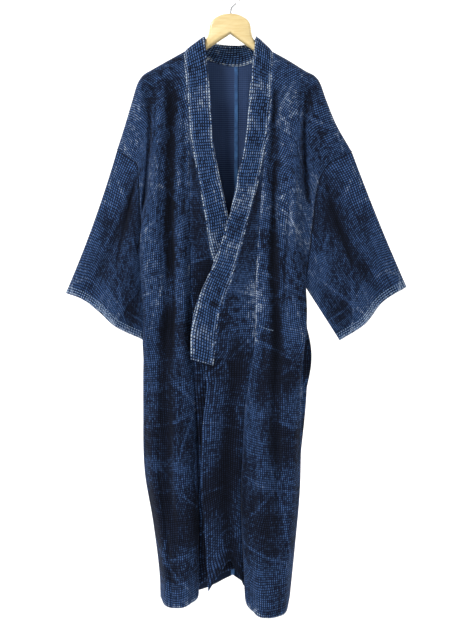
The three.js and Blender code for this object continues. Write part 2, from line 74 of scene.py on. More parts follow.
# %% Studio
FLOOR_Z = -1.62
WALL_Y = 3.0
STAGE_WIDTH = 14.0
STAGE_FRONT = -6.0
COVE_RADIUS = 0.8
COVE_POINTS = 13
STAGE_HEIGHT = 5.0
WHITE = 0.93


def linear(hex_colour):
    """An sRGB hex colour as linear red, green, blue and alpha."""
    parts = [int(hex_colour[k:k + 2], 16) / 255 for k in (1, 3, 5)]
    return [c / 12.92 if c <= 0.04045 else ((c + 0.055) / 1.055) ** 2.4 for c in parts] + [1.0]


def add_node(tree, kind, inputs=(), output=0, **fields):
    """Adds a node and gives one of its outputs. Each input is a number, a hex colour or another output."""
    new = tree.nodes.new("ShaderNode" + kind)
    for name, value in fields.items():
        setattr(new, name, value)
    for name, value in inputs.items() if isinstance(inputs, dict) else enumerate(inputs):
        if isinstance(value, bpy.types.NodeSocket):
            tree.links.new(value, new.inputs[name])
        else:
            new.inputs[name].default_value = linear(value) if isinstance(value, str) else value
    return new.outputs[output] if new.outputs else None


def new_material(name):
    material = bpy.data.materials.new(name)
    material.use_nodes = True
    material.node_tree.nodes.clear()
    return material, material.node_tree


def surface(tree, inputs):
    """Ends a material with its surface, from the values and patterns given."""
    add_node(tree, "OutputMaterial", {"Surface": add_node(tree, "BsdfPrincipled", inputs)})


def stage_profile():
    """Floor, quarter round and wall, from the front to the top."""
    turns = np.linspace(0, math.pi / 2, COVE_POINTS)
    cove = [(WALL_Y - COVE_RADIUS + COVE_RADIUS * math.sin(t), FLOOR_Z + COVE_RADIUS * (1 - math.cos(t)))
            for t in turns]
    return [(STAGE_FRONT, FLOOR_Z), *cove, (WALL_Y, FLOOR_Z + STAGE_HEIGHT)]


profile = stage_profile()
corners = [(x, y, z) for y, z in profile for x in (STAGE_WIDTH / 2, -STAGE_WIDTH / 2)]
steps = [2 * k for k in range(len(profile) - 1)]
mesh = bpy.data.meshes.new("studio_floor")
mesh.from_pydata(corners, [], [(k, k + 2, k + 3, k + 1) for k in steps])
stage = bpy.data.objects.new("studio_floor", mesh)
bpy.context.collection.objects.link(stage)
mesh.polygons.foreach_set("use_smooth", [True] * len(mesh.polygons))

# Matt paper scatters the light evenly, so that the ground has no shine
material, tree = new_material("matt white paper")
surface(tree, {"Base Color": (WHITE, WHITE, WHITE, 1), "Roughness": 0.9})
mesh.materials.append(material)
print("floor at", FLOOR_Z)

# %% Lamps
DAYLIGHT = 0.4
MIDDLE = (0, 0, -0.75)
WALL_MIDDLE = (0, WALL_Y, -0.4)
KEY_POWER = 62
FILL_POWER = 14
WALL_POWER = 85

world = bpy.data.worlds.new("studio")
bpy.context.scene.world = world
world.use_nodes = True
daylight = world.node_tree.nodes["Background"]
daylight.inputs["Color"].default_value = (1, 1, 1, 1)
daylight.inputs["Strength"].default_value = DAYLIGHT
bpy.context.scene.view_settings.view_transform = "Standard"


def area_lamp(name, place, aim, size, power):
    bpy.ops.object.light_add(type="AREA", location=place)
    lamp = bpy.context.object
    lamp.name = name
    lamp.data.shape = "RECTANGLE"
    lamp.data.size, lamp.data.size_y = size
    lamp.data.energy = power
    lamp.rotation_euler = (Vector(aim) - Vector(place)).to_track_quat("-Z", "Y").to_euler()


area_lamp("key_lamp", (-1.7, -2.0, 0.9), MIDDLE, (0.8, 0.8), KEY_POWER)
area_lamp("fill_lamp", (2.2, -2.6, -0.2), MIDDLE, (1.6, 1.6), FILL_POWER)
area_lamp("wall_lamp_left", (-2.6, 1.5, 1.0), WALL_MIDDLE, (1.2, 2.4), WALL_POWER)
area_lamp("wall_lamp_right", (2.6, 1.5, 1.0), WALL_MIDDLE, (1.2, 2.4), WALL_POWER)
bpy.ops.object.select_all(action="DESELECT")

# %% [markdown]
# The garment's form is a set of edges and of surfaces stretched between them, the same that
# the solids have. The edges are short tables in millimetres, each read along a smooth curve.
# They are drawn on the hanger's plane as the eye sees them, and each point then moves to its
# own depth along the line of sight.

# %% Tables and how they are read
NECK_Z = -147.0
SHOULDER_DROPS = [0, 3, 9, 18, 34, 56]
LEVEL_STEP = 39.1
LEVELS_BELOW = 30
DROPS = np.array(SHOULDER_DROPS + [SHOULDER_DROPS[-1] + LEVEL_STEP * (k + 1) for k in range(LEVELS_BELOW)])
LENGTH = DROPS[-1]
NECK_ROWS = 6
UNDERARM_DROP = DROPS[16]
SHOULDER_ROUND = 18.0
BACK_CENTRE_X = 12.0
NECK_DEPTH = 44.0
NECK_DIP = 33.0
BACK_HEM_Z = -1350.0
COLLAR_PEAK_Z = -111.0
COLLAR_BACK_DIP = 22.0
COLLAR_BACK_DEPTH = 42.0

FOLD = "u0 v0 u1 v1 depth width"
LIP = "outer v0 v1 reach width"


def table(columns, *rows):
    """A short table as one array for each named column, with the first column as the key."""
    names = columns.split()
    values = np.array(rows, float)
    return {"key": names[0], **{name: values[:, k] for k, name in enumerate(names)}}


def read(rows, name, at):
    """A column at any value of the key, along a smooth curve through the rows."""
    key, values = rows[rows["key"]], rows[name]
    way = np.sign(key[-1] - key[0])
    slopes = np.empty_like(values)
    slopes[1:-1] = (values[2:] - values[:-2]) / (key[2:] - key[:-2])
    slopes[0] = (values[1] - values[0]) / (key[1] - key[0])
    slopes[-1] = (values[-1] - values[-2]) / (key[-1] - key[-2])
    at = np.asarray(at, float)
    k = np.clip(np.searchsorted(way * key, way * at, side="right") - 1, 0, len(key) - 2)
    span = key[k + 1] - key[k]
    t = np.clip((at - key[k]) / span, 0, 1)
    t2, t3 = t * t, t * t * t
    return (values[k] * (2 * t3 - 3 * t2 + 1) + values[k + 1] * (3 * t2 - 2 * t3)
            + slopes[k] * span * (t3 - 2 * t2 + t) + slopes[k + 1] * span * (t3 - t2))


def mix(a, b, t):
    return a + (b - a) * t


def smooth_step(low, high, value):
    t = np.clip((value - low) / (high - low), 0, 1)
    return t * t * (3 - 2 * t)


def point(x, y, z):
    return np.stack(np.broadcast_arrays(np.asarray(x, float), y, z), axis=-1)


def placed(points):
    """Moves drawn points to their depth along the line of sight, and turns them to metres."""
    spread = 1 + points[..., 1:2] * MM / EYE_DISTANCE
    eye = np.array([0.0, 0.0, EYE_Z / MM])
    flat = points * [1, 0, 1] - eye
    return (eye + flat * spread + points * [0, 1, 0]) * MM


print("levels", len(DROPS), "from shoulder to hem", LENGTH, "mm")

# %% [markdown]
# The wearer's right side is on the viewer's left, and its front lies underneath. Folds run
# from one place (u0, v0) of a panel to another (u1, v1), with u across it and v down it.
# A plus depth is a trough, and a minus depth is a ridge.

# %% The wearer's right side
RIGHT = {
    "side": -1,
    "overlap_drop": DROPS[7],
    "collar_end_drop": DROPS[21],
    "side_drop": 226.0,
    "collar": table(
        "z seam_x seam_y free_x lift free_y",
        (-147, -108, 0, -61, 36, 0),
        (-150, -108, -9, -60, 35, -10),
        (-156, -107, -14, -59, 33, -15),
        (-165, -107, -17, -58, 31, -18),
        (-198, -104, -19, -55, 20, -20),
        (-256, -99, -20, -47, 7, -23),
        (-345, -92, -22, -42, 0, -24),
        (-433, -76, -22, -28, 9, -23),
        (-525, -60, -21, -8, 9, -20),
        (-630, -42, -18, 12, 11, -15),
        (-741, -12, -13, 37, 11, -9),
        (-829, 12, -9, 60, 11, -5)),
    "overlap_seam": table(
        "z x y",
        (-281, -97, -20.7),
        (-400, -96, -21),
        (-525, -95, -20),
        (-695, -93, -18),
        (-833, -88, -14),
        (-1000, -79, -10),
        (-1180, -74, -8),
        (-1376, -74, -8)),
    "front_edge": table(
        "z x y",
        (-829, 12, -9),
        (-940, 24, -3),
        (-1100, 30, 6),
        (-1376, 33, 20)),
    "side_edge": table(
        "z x front back",
        (-373, -262, 0, 0),
        (-376, -256, -4, 4),
        (-381, -248, -7, 7),
        (-388, -239, -9, 9),
        (-403, -218, -11, 11),
        (-430, -213, -13, 13),
        (-508, -209, -14, 14),
        (-603, -202, -13, 13),
        (-690, -191, -5, 5),
        (-764, -189, -2, 2),
        (-824, -200, -2, 2),
        (-962, -202, -1.8, 1.8),
        (-1100, -199, -1.6, 1.6),
        (-1210, -180, -1.4, 1.4),
        (-1320, -165, -1.2, 1.2),
        (-1389, -162, -1.1, 1.1)),
    "shoulder": table(
        "u x z",
        (0, -108, -147),
        (0.2, -144, -167),
        (0.4, -181, -188),
        (0.5, -202, -201),
        (0.58, -215, -220),
        (0.7, -228, -262),
        (0.85, -244, -316),
        (1, -262, -373)),
    "front_hem": table("u drop", (0, 0), (0.12, 30), (0.3, 46), (0.55, 51), (0.88, 45), (1, 24)),
    "back_hem": table("u drop", (0, 0), (0.5, 22), (1, 0)),
    "overlap_hem": table("u drop", (0, 0), (0.5, -30), (1, -48)),
    "front_swell": 36.0,
    "back_swell": 16.0,
    "front_folds": table(
        FOLD,
        (0.5, 0.0, 0.97, 0.24, 12, 0.08),
        (0.62, 0.03, 0.8, 0.6, -13, 0.13),
        (0.22, 0.0, 0.5, 0.48, 14, 0.1),
        (0.48, 0.42, 0.62, 0.9, 16, 0.12),
        (0.17, 0.28, 0.16, 0.62, -12, 0.11),
        (0.3, 0.62, 0.28, 1.1, -9, 0.13),
        (0.85, 0.62, 0.86, 1.1, -8, 0.1)),
    "back_folds": table(
        FOLD,
        (0.45, 0.02, 0.4, 1.1, -12, 0.12),
        (0.7, 0.05, 0.72, 1.1, 11, 0.1),
        (0.2, 0.3, 0.17, 1.1, 8, 0.09),
        (0.5, 0.0, 0.95, 0.3, -10, 0.09)),
    "overlap_folds": table(FOLD, (0.5, 0.4, 0.5, 1.2, 5, 0.2)),
    "front_lips": table(LIP, (1, 0.2, 0.62, 30, 0.36), (0, 0.6, 1.6, 7, 0.2)),
    "back_lips": table(LIP, (1, 0, 1, 0, 0.2)),
    "cuff": table(
        "q x z",
        (0, -380, -702),
        (0.19, -343, -716),
        (0.41, -306, -743),
        (0.68, -265, -780),
        (1, -203, -809)),
    "sleeve_sag": 6.0,
    "sleeve_folds": table(
        FOLD,
        (0.3, -0.1, 0.22, 1.1, 6, 0.08),
        (0.62, 0.1, 0.55, 1.1, -7, 0.12),
        (0.85, 0.0, 0.85, 1.1, 5, 0.08)),
}
print("right side:", ", ".join(RIGHT))

# %% The wearer's left side
LEFT = {
    "side": 1,
    "overlap_drop": DROPS[9],
    "collar_end_drop": DROPS[22],
    "side_drop": 230.0,
    "collar": table(
        "z seam_x seam_y free_x lift free_y",
        (-147, 96, 0, 58, 36, 0),
        (-150, 96, -9, 57, 35, -10),
        (-156, 95, -14, 55, 33, -15),
        (-165, 95, -17, 54, 31, -18),
        (-198, 93, -19, 50, 22, -20),
        (-256, 90, -21, 42, 7, -24),
        (-345, 81, -26, 34, 5, -28),
        (-433, 64, -32, 17, 9, -34),
        (-538, 37, -40, -4, 14, -42),
        (-642, 9, -46, -37, 17, -48),
        (-750, -27, -51, -78, 28, -53),
        (-808, -36, -53, -91, 29, -55),
        (-867, -43, -54, -94, 14, -56)),
    "overlap_seam": table(
        "z x y",
        (-359, 78.6, -27),
        (-488, 68, -28),
        (-672, 57, -27),
        (-810, 54, -24),
        (-902, 41, -18),
        (-971, 31, -10),
        (-1077, 26, -3),
        (-1180, 22, 0),
        (-1376, 31, 2)),
    "front_edge": table(
        "z x y",
        (-867, -43, -54),
        (-880, -60, -54),
        (-913, -55, -51),
        (-982, -62, -46),
        (-1040, -67, -44),
        (-1130, -68, -42),
        (-1217, -62, -40),
        (-1290, -57, -38),
        (-1376, -52, -38)),
    "side_edge": table(
        "z x front back",
        (-377, 278, 0, 0),
        (-380, 271, -4, 4),
        (-385, 261, -7, 7),
        (-391, 249, -9, 9),
        (-399, 232, -11, 11),
        (-418, 214, -13, 13),
        (-442, 203, -14, 14),
        (-488, 194, -14, 14),
        (-557, 186, -13, 13),
        (-630, 177, -9, 9),
        (-690, 168, -4, 4),
        (-764, 166, -2, 2),
        (-897, 161, -8, -4.6),
        (-1060, 161, -8, -4.8),
        (-1155, 158, -3, 0),
        (-1270, 147, -1.3, 1.3),
        (-1389, 134, -1.1, 1.1)),
    "shoulder": table(
        "u x z",
        (0, 96, -147),
        (0.2, 134, -168),
        (0.4, 171, -191),
        (0.5, 193, -203),
        (0.58, 205, -219),
        (0.7, 218, -255),
        (0.85, 243, -316),
        (1, 278, -377)),
    "front_hem": table(
        "u drop", (0, 0), (0.1, 40), (0.25, 66), (0.45, 74), (0.75, 70), (0.93, 57), (1, 24)),
    "back_hem": table("u drop", (0, 0), (0.5, 26), (1, 0)),
    "overlap_hem": table("u drop", (0, 0), (0.2, -30), (0.4, -58), (0.7, -26), (1, 12)),
    "front_swell": 40.0,
    "back_swell": 16.0,
    "front_folds": table(
        FOLD,
        (0.5, 0.0, 0.95, 0.22, 12, 0.08),
        (0.58, 0.03, 0.86, 0.62, -13, 0.12),
        (0.05, 0.02, 0.4, 0.46, 14, 0.09),
        (0.37, 0.38, 0.7, 0.9, 16, 0.1),
        (0.3, 0.62, 0.3, 1.1, -10, 0.14),
        (0.88, 0.62, 0.86, 1.1, -8, 0.09)),
    "back_folds": table(
        FOLD,
        (0.4, 0.02, 0.42, 1.1, -12, 0.12),
        (0.68, 0.05, 0.7, 1.1, 12, 0.1),
        (0.2, 0.35, 0.2, 1.1, 7, 0.09),
        (0.5, 0.0, 0.95, 0.3, -10, 0.09)),
    "overlap_folds": table(
        FOLD,
        (0.3, 0.5, 0.35, 1.2, 9, 0.17),
        (0.75, 0.55, 0.7, 1.2, -6, 0.16)),
    "front_lips": table(LIP, (1, 0.3, 0.64, 24, 0.3), (0, 0.62, 1.6, 7, 0.2)),
    "back_lips": table(LIP, (1, 0.36, 0.8, 29, 0.2), (1, 0.5, 0.62, 9, 0.12)),
    "cuff": table("q x z", (0, 404, -688), (0.32, 350, -722), (0.67, 306, -775), (1, 250, -811)),
    "sleeve_sag": -3.0,
    "sleeve_folds": table(
        FOLD,
        (0.35, -0.1, 0.3, 1.1, 6, 0.09),
        (0.65, 0.1, 0.6, 1.1, -7, 0.12),
        (0.85, 0.0, 0.85, 1.1, 5, 0.08)),
}

BACK_CENTRE = table(
    "z x y",
    (-180, 12, 44),
    (-300, 12, 38),
    (-600, 11, 40),
    (-1000, 8, 48),
    (-1350, 4, 60))
print("left side:", ", ".join(LEFT))


# %% Edges of the panels
def collar_seam(half, z):
    return point(read(half["collar"], "seam_x", z), read(half["collar"], "seam_y", z), z)


def collar_free(half, z):
    rows = half["collar"]
    return point(read(rows, "free_x", z), read(rows, "free_y", z), z + read(rows, "lift", z))


def edge_at(rows, z):
    return point(read(rows, "x", z), read(rows, "y", z), z)


def front_inner(half, drop):
    """The front panel's inner edge: the collar's seam, then the overlap's seam."""
    z = NECK_Z - drop
    under_collar = (drop <= half["overlap_drop"])[..., None]
    return np.where(under_collar, collar_seam(half, z), edge_at(half["overlap_seam"], z))


def neck_turn(drop):
    row = np.interp(drop, DROPS, np.arange(len(DROPS)))
    return np.clip(row / NECK_ROWS, 0, 1) * math.pi / 2


def neck_seam(half, angle):
    shoulder = half["shoulder"]["x"][0]
    return point(BACK_CENTRE_X + (shoulder - BACK_CENTRE_X) * np.cos(angle),
                 NECK_DEPTH * np.sin(angle), NECK_Z - NECK_DIP * np.sin(angle) ** 3)


def neck_free(half, angle):
    peak = half["collar"]["free_x"][0]
    return point(BACK_CENTRE_X + (peak - BACK_CENTRE_X) * np.cos(angle),
                 COLLAR_BACK_DEPTH * np.sin(angle), COLLAR_PEAK_Z - COLLAR_BACK_DIP * np.sin(angle))


def back_inner(half, drop):
    """The back panel's inner edge: round the neck, then down the centre seam."""
    start = DROPS[NECK_ROWS]
    part = (drop - start) / (LENGTH - start)
    centre = edge_at(BACK_CENTRE, mix(NECK_Z - NECK_DIP, BACK_HEM_Z, np.clip(part, 0, 1)))
    return np.where((drop <= start)[..., None], neck_seam(half, neck_turn(drop)), centre)


def side_edge(half, drop, face):
    v = drop / LENGTH
    z = NECK_Z - drop - half["side_drop"] * (1 - v) ** 3
    return point(read(half["side_edge"], "x", z), read(half["side_edge"], face, z), z)


print("left front edge at the hem", edge_at(LEFT["front_edge"], NECK_Z - LENGTH), "mm")

# %% Folds and lips
SEAM_FADE = 0.08
END_FADE = 0.2
SWELL_AT_TOP = 8.0
SWELL_FULLNESS = 0.8


def fold_depth(folds, u, v):
    """Troughs and ridges, each a soft bell across its own line, gone at the seams."""
    inside = smooth_step(0, SEAM_FADE, u) * smooth_step(0, SEAM_FADE, 1 - u)
    depth = np.zeros(np.broadcast(u, v).shape)
    for u0, v0, u1, v1, deep, width in zip(*(folds[k] for k in FOLD.split())):
        along = (v - v0) / (v1 - v0)
        fade = smooth_step(0, END_FADE, along) * smooth_step(0, END_FADE, 1 - along)
        depth = depth + deep * fade * np.exp(-(((u - mix(u0, u1, along)) / width) ** 2))
    return depth * inside


def lip_reach(lips, u, v):
    """How far a panel's edge rolls out over its neighbour."""
    reach = np.zeros(np.broadcast(u, v).shape)
    for outer, v0, v1, far, width in zip(*(lips[k] for k in LIP.split())):
        along = np.clip((v - v0) / (v1 - v0), 0, 1)
        across = np.clip((1 - u if outer else u) / width, 0, 1)
        way = 1 if outer else -1
        reach = reach + way * far * np.sin(math.pi * along) * np.sin(math.pi * across)
    return reach


def rounded_over(drop):
    rest = 1 - np.minimum(drop / SHOULDER_ROUND, 1)
    return np.sqrt(1 - rest * rest)


def body_points(half, face, drop, u):
    """Points of a body panel on the hanger's plane, for a column of drops and a row of u."""
    front = face == "front"
    inner_at = front_inner if front else back_inner
    v = (drop / LENGTH)[:, None]
    across = u[None, :, None]
    zero = np.zeros(1)
    points = mix(inner_at(half, drop)[:, None], side_edge(half, drop, face)[:, None], across)
    straight = mix(inner_at(half, zero)[:, None], side_edge(half, zero, face)[:, None], across)
    fade = (1 - v) ** 3
    points[..., 0] += (read(half["shoulder"], "x", u) - straight[0, :, 0]) * fade
    points[..., 2] += (read(half["shoulder"], "z", u) - straight[0, :, 2]) * fade
    points[..., 2] -= read(half[face + "_hem"], "drop", u) * v ** 4
    swell = SWELL_AT_TOP + half[face + "_swell"] * v ** 2
    rise = swell * np.sin(math.pi * np.clip(u, 0, 1)) ** SWELL_FULLNESS * rounded_over(drop)[:, None]
    points[..., 1] += -rise if front else rise
    points[..., 1] += fold_depth(half[face + "_folds"], u[None], v)
    points[..., 0] += half["side"] * lip_reach(half[face + "_lips"], u[None], v)
    return points


print("deepest fold of the left front", LEFT["front_folds"]["depth"].max(), "mm")

# %% [markdown]
# A cloth piece is a fine sheet over its grid of points. Its own map holds real metres across
# and along the cloth, so that the weave runs with the thread. Two more values at each point
# say how worn it is, as at seams and edges, with a painted highlight added on fold ridges, and
# how deep it lies in a fold, which paints shade into the folds. Solidify then gives the sheet its
# thickness.

# %% From points to cloth
CLOTH_THICKNESS = 1.8 * MM
WAVE_COUNT = 9
WAVE_PITCHES = (0.6, 1.7)
WAVE_UPRIGHT = 0.6
SWELL = {"size": 75, "height": 1.5}
CRUMPLE = {"size": 26, "height": 0.55}


def lengths(points, axis):
    """Running length along one way of a grid, in the points' own units."""
    steps = np.linalg.norm(np.diff(points, axis=axis), axis=-1)
    start = np.zeros_like(np.take(steps, [0], axis=axis))
    return np.concatenate([start, np.cumsum(steps, axis=axis)], axis=axis)


def add_piece(name, mesh):
    """Puts a mesh in the scene as a piece of the garment, and selects it alone."""
    piece = bpy.data.objects.new(name, mesh)
    bpy.context.collection.objects.link(piece)
    mesh.polygons.foreach_set("use_smooth", [True] * len(mesh.polygons))
    mesh.update()
    bpy.ops.object.select_all(action="DESELECT")
    piece.select_set(True)
    bpy.context.view_layer.objects.active = piece
    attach(piece, "root")
    return piece


def cloth_piece(name, points, wear_and_highlight, painted_shade, materials, ring=False, turned=False, straight_side=False,
                thickness=CLOTH_THICKNESS):
    """Makes the sheet, its map in metres, its wear with painted highlight, its painted shade, and its
    thickness.
    """
    rows, columns, _ = points.shape
    shown = columns if ring else columns - 1
    i, j = np.meshgrid(np.arange(rows - 1), np.arange(shown), indexing="ij")
    corner_i = np.stack([i, i, i + 1, i + 1], axis=-1)
    corner_j = np.stack([j, j + 1, j + 1, j], axis=-1)
    if turned:
        corner_i, corner_j = corner_i[..., ::-1], corner_j[..., ::-1]
    mesh = bpy.data.meshes.new(name)
    ids = corner_i * columns + corner_j % columns
    mesh.from_pydata(points.reshape(-1, 3).tolist(), [], ids.reshape(-1, 4).tolist())
    closed = np.concatenate([points, points[:, :1]], axis=1) if ring else points
    across = lengths(closed, 1)
    if straight_side:
        across = across - across[:, -1:]
    else:
        across = np.broadcast_to(across.mean(axis=0), across.shape)
    along = lengths(points, 0).mean(axis=1)
    uv = np.stack([across[corner_i, corner_j], along[corner_i]], axis=-1)
    mesh.uv_layers.new(name="Cloth").data.foreach_set("uv", uv.reshape(-1).astype(np.float32))
    for value_name, values in (("wear_and_highlight", wear_and_highlight), ("painted_shade", painted_shade)):
        attribute = mesh.attributes.new(value_name, "FLOAT", "POINT")
        values = np.broadcast_to(values, (rows, columns)).astype(np.float32)
        attribute.data.foreach_set("value", values.reshape(-1))
    for material in materials:
        mesh.materials.append(material)
    piece = add_piece(name, mesh)
    thick = piece.modifiers.new("thickness", "SOLIDIFY")
    thick.thickness = thickness
    thick.offset = -1
    thick.material_offset = len(materials) - 1
    bpy.ops.object.modifier_apply(modifier=thick.name)
    wide, long = round(float(np.ptp(across)), 3), round(float(along[-1]), 3)
    print(name, len(piece.data.polygons), "faces, about", wide, "x", long, "m")
    return piece


def waves(points, size, height, seed):
    """A slow uneven swell over a sheet, so that no panel looks ironed."""
    draw = np.random.default_rng(seed)
    total = np.zeros(points.shape[:2])
    for _ in range(WAVE_COUNT):
        turn = draw.uniform(0, 2 * math.pi)
        pitch = size * draw.uniform(*WAVE_PITCHES)
        phase = draw.uniform(0, 2 * math.pi)
        way = points[..., 0] * math.cos(turn) + points[..., 2] * math.sin(turn) * WAVE_UPRIGHT
        total += np.sin(2 * math.pi * way / pitch + phase)
    return height * total / 4


def crumpled(points, seed):
    """The slow swell and the small crumples of soft worn cotton, in millimetres."""
    return waves(points, seed=seed, **SWELL) + waves(points, seed=seed + 1, **CRUMPLE)


def inside_share(u):
    """1 in the middle of a panel, and 0 at its two edges, where it is sewn down."""
    return np.abs(np.sin(math.pi * u)) ** 0.5


def near(distance, reach):
    """1 at a line and falling softly to 0 beyond its reach."""
    return np.exp(-((distance / reach) ** 2))


print("cloth", CLOTH_THICKNESS / MM, "mm thick")

# %% [markdown]
# The cloth is a heavy indigo cotton, woven as a small basket: short pale dashes along the
# thread and shorter ones across it, on a dark ground. Each dash has its own brightness, and
# so has each thread. In soft patches they are bright or nearly gone, and rubbed edges are
# almost white. Large figures of thin dotted lines cross the cloth, in a generic layout.
# All of it is drawn on the cloth's own map, in real millimetres.

# %% Patterns
GROUND_DEEP = "#0a0d15"
GROUND = "#141a2c"
GROUND_WORN = "#1f3054"
DASH_DIM = "#212c46"
DASH_BLUE = "#4a6fa8"
DASH_PALE = "#c9d9ea"

# Slow bends of the threads are 11 cm long, rubbed spots 13 mm, frayed ends 2.4 mm, fibres 1.1 mm
BENDS_PER_METRE = 9.0
SPOTS_PER_METRE = 75.0
FRAYS_PER_METRE = 420.0
FIBRES_PER_METRE = 900.0
BEND = 20 * MM
FRAY = 0.9 * MM
SOFT_LIMITS = (0.3, 0.7)
SMOOTH = {"interpolation_type": "SMOOTHSTEP"}
FLAT = {"noise_dimensions": "2D"}
MIX_AMOUNT, MIX_UNDER, MIX_OVER, MIX_RESULT = 0, 6, 7, 2


def worked_out(tree, value, *steps):
    """Takes a pattern through steps of arithmetic: each an operation and its other number or pattern."""
    for operation, *other in steps:
        value = add_node(tree, "Math", (value, *other), operation=operation)
    return value


def added_up(tree, *terms):
    """The sum of patterns, each with a factor before it."""
    total = None
    for factor, pattern in terms:
        term = worked_out(tree, pattern, ("MULTIPLY", factor))
        total = term if total is None else worked_out(tree, total, ("ADD", term))
    return total


def coats(tree, colour, *layers):
    """Lays colours over the first, each as its pattern rises between limits, or as much as it says."""
    for pattern, limits, over in layers:
        amount = add_node(tree, "MapRange", (pattern, *limits), **SMOOTH) if limits else pattern
        inputs = {MIX_AMOUNT: amount, MIX_UNDER: colour, MIX_OVER: over}
        colour = add_node(tree, "Mix", inputs, MIX_RESULT, data_type="RGBA")
    return colour


def blotches(tree, place, per_metre, detail, *limits, **fields):
    """Soft random blotches. Limits are the noise's low and high, and the values they turn to."""
    noise = add_node(tree, "TexNoise", {"Vector": place, "Scale": per_metre, "Detail": detail}, **fields)
    return add_node(tree, "MapRange", (noise, *limits), **SMOOTH)


def cloth_map(tree, offset=(0, 0)):
    """The cloth's map in metres, moved by an offset, slowly bent, and frayed."""
    uv = add_node(tree, "UVMap", uv_map="Cloth")
    start = add_node(tree, "VectorMath", (uv, (*offset, 0)), operation="ADD")
    bend = {"Vector": start, "Scale": BENDS_PER_METRE, "Detail": 1.0}
    bend = add_node(tree, "TexNoise", bend, "Color", **FLAT)
    bend = add_node(tree, "VectorMath", (bend, (0.5, 0.5, 0.5)), operation="SUBTRACT")
    fray = add_node(tree, "TexNoise", {"Vector": start, "Scale": FRAYS_PER_METRE}, "Color", **FLAT)
    place = start
    for pattern, reach in ((bend, BEND), (fray, FRAY)):
        push = add_node(tree, "VectorMath", {0: pattern, "Scale": reach}, operation="SCALE")
        place = add_node(tree, "VectorMath", (place, push), operation="ADD")
    return place


print("paler by steps:", GROUND_DEEP, GROUND, GROUND_WORN, DASH_DIM, DASH_BLUE, DASH_PALE)

# %% Dashes of the weave
DASH_SOFTNESS = 0.1
SHORTEST_DASH = 0.78
DASH_SPREAD = 0.45


def dash_grid(tree, x, y, pitch, dash, phase, long_way):
    """Soft-ended dashes of uneven length, and a random value for each. Long way is 0 across, 1 along."""
    places = [worked_out(tree, value, ("DIVIDE", step), ("ADD", start))
              for value, step, start in zip((x, y), pitch, phase)]
    cell = add_node(tree, "CombineXYZ", [worked_out(tree, place, ("FLOOR",)) for place in places])
    chance = add_node(tree, "TexWhiteNoise", {"Vector": cell}, **FLAT)
    masks = []
    for way, place in enumerate(places):
        off = worked_out(tree, place, ("FRACT",), ("SUBTRACT", 0.5), ("ABSOLUTE",))
        if way == long_way:
            stretch = worked_out(tree, chance, ("MULTIPLY", DASH_SPREAD), ("ADD", SHORTEST_DASH))
            off = worked_out(tree, off, ("DIVIDE", stretch))
        half = dash[way] / pitch[way] / 2
        ends = (half + DASH_SOFTNESS, half - DASH_SOFTNESS)
        masks.append(add_node(tree, "MapRange", (off, *ends), **SMOOTH))
    return worked_out(tree, masks[0], ("MULTIPLY", masks[1])), chance


def thread_value(tree, value, pitch):
    """A random value for each whole thread."""
    thread = worked_out(tree, value, ("DIVIDE", pitch), ("FLOOR",))
    return add_node(tree, "TexWhiteNoise", {"W": thread}, noise_dimensions="1D")


FIGURE_TURNS = (18, 78, 138)
FIGURE_PERIOD = 0.15
FIGURE_STARTS = (0.2, 0.45, 0.7)
FIGURE_LINE = (0.034, 0.012)
FIGURE_LIMITS = (0.42, 0.56)
FIGURE_BREAKS_PER_METRE = 7.0


def dotted_figures(tree, place, x, y):
    """Three families of lines that cross as large stars, broken every 14 cm or so, on paler dashes."""
    lines = 0.0
    for degrees, start in zip(FIGURE_TURNS, FIGURE_STARTS):
        c, s = math.cos(math.radians(degrees)), math.sin(math.radians(degrees))
        over = added_up(tree, (c / FIGURE_PERIOD, x), (s / FIGURE_PERIOD, y))
        off = worked_out(tree, over, ("ADD", start), ("FRACT",), ("SUBTRACT", 0.5), ("ABSOLUTE",))
        line = add_node(tree, "MapRange", (off, *FIGURE_LINE), **SMOOTH)
        lines = worked_out(tree, line, ("MAXIMUM", lines))
    shown = blotches(tree, place, FIGURE_BREAKS_PER_METRE, 1.0, *FIGURE_LIMITS, **FLAT)
    return worked_out(tree, lines, ("MULTIPLY", shown))


print("star lines every", FIGURE_PERIOD, "m")

# %% Woven cloth
COTTON = {"Roughness": 0.95, "Specular IOR Level": 0.08}
COTTON_SHEEN = 0.03
HOLLOW_SHADE = 0.6
DARKENED = 0.48
CHANCE = 0.3
FIBRE_GAPS = 0.35
DASHES_DOWN = 0.03
SMALL_PATCHES = 3.2
SPOT_LIMITS = (0.3, 0.62, 0.3, 1.0)
CROSS_RELIEF, DASH_RELIEF, FIBRE_RELIEF = 0.8, 0.7, 0.3
COTTON_BUMP = {"Strength": 0.35, "Distance": 0.9 * MM}

# How much each pattern says about how pale the cloth is, and the paleness at which colours change
# The share of the hollow value is painted shade in folds, and the rub share also carries a painted
# highlight on fold ridges
PATCH_SHARE, SMALL_SHARE, RUB_AND_HIGHLIGHT_SHARE, PAINTED_SHADE_SHARE, THREAD_SHARE = 0.42, 0.28, 0.75, -0.5, 0.1
GROUND_LIMITS = (-0.2, 0.45)
WORN_LIMITS = (0.4, 1.2)
SHOWN_LIMITS = (-0.9, 0.0)
BLUE_LIMITS = (-0.05, 0.5)
PALE_LIMITS = (0.5, 1.15)


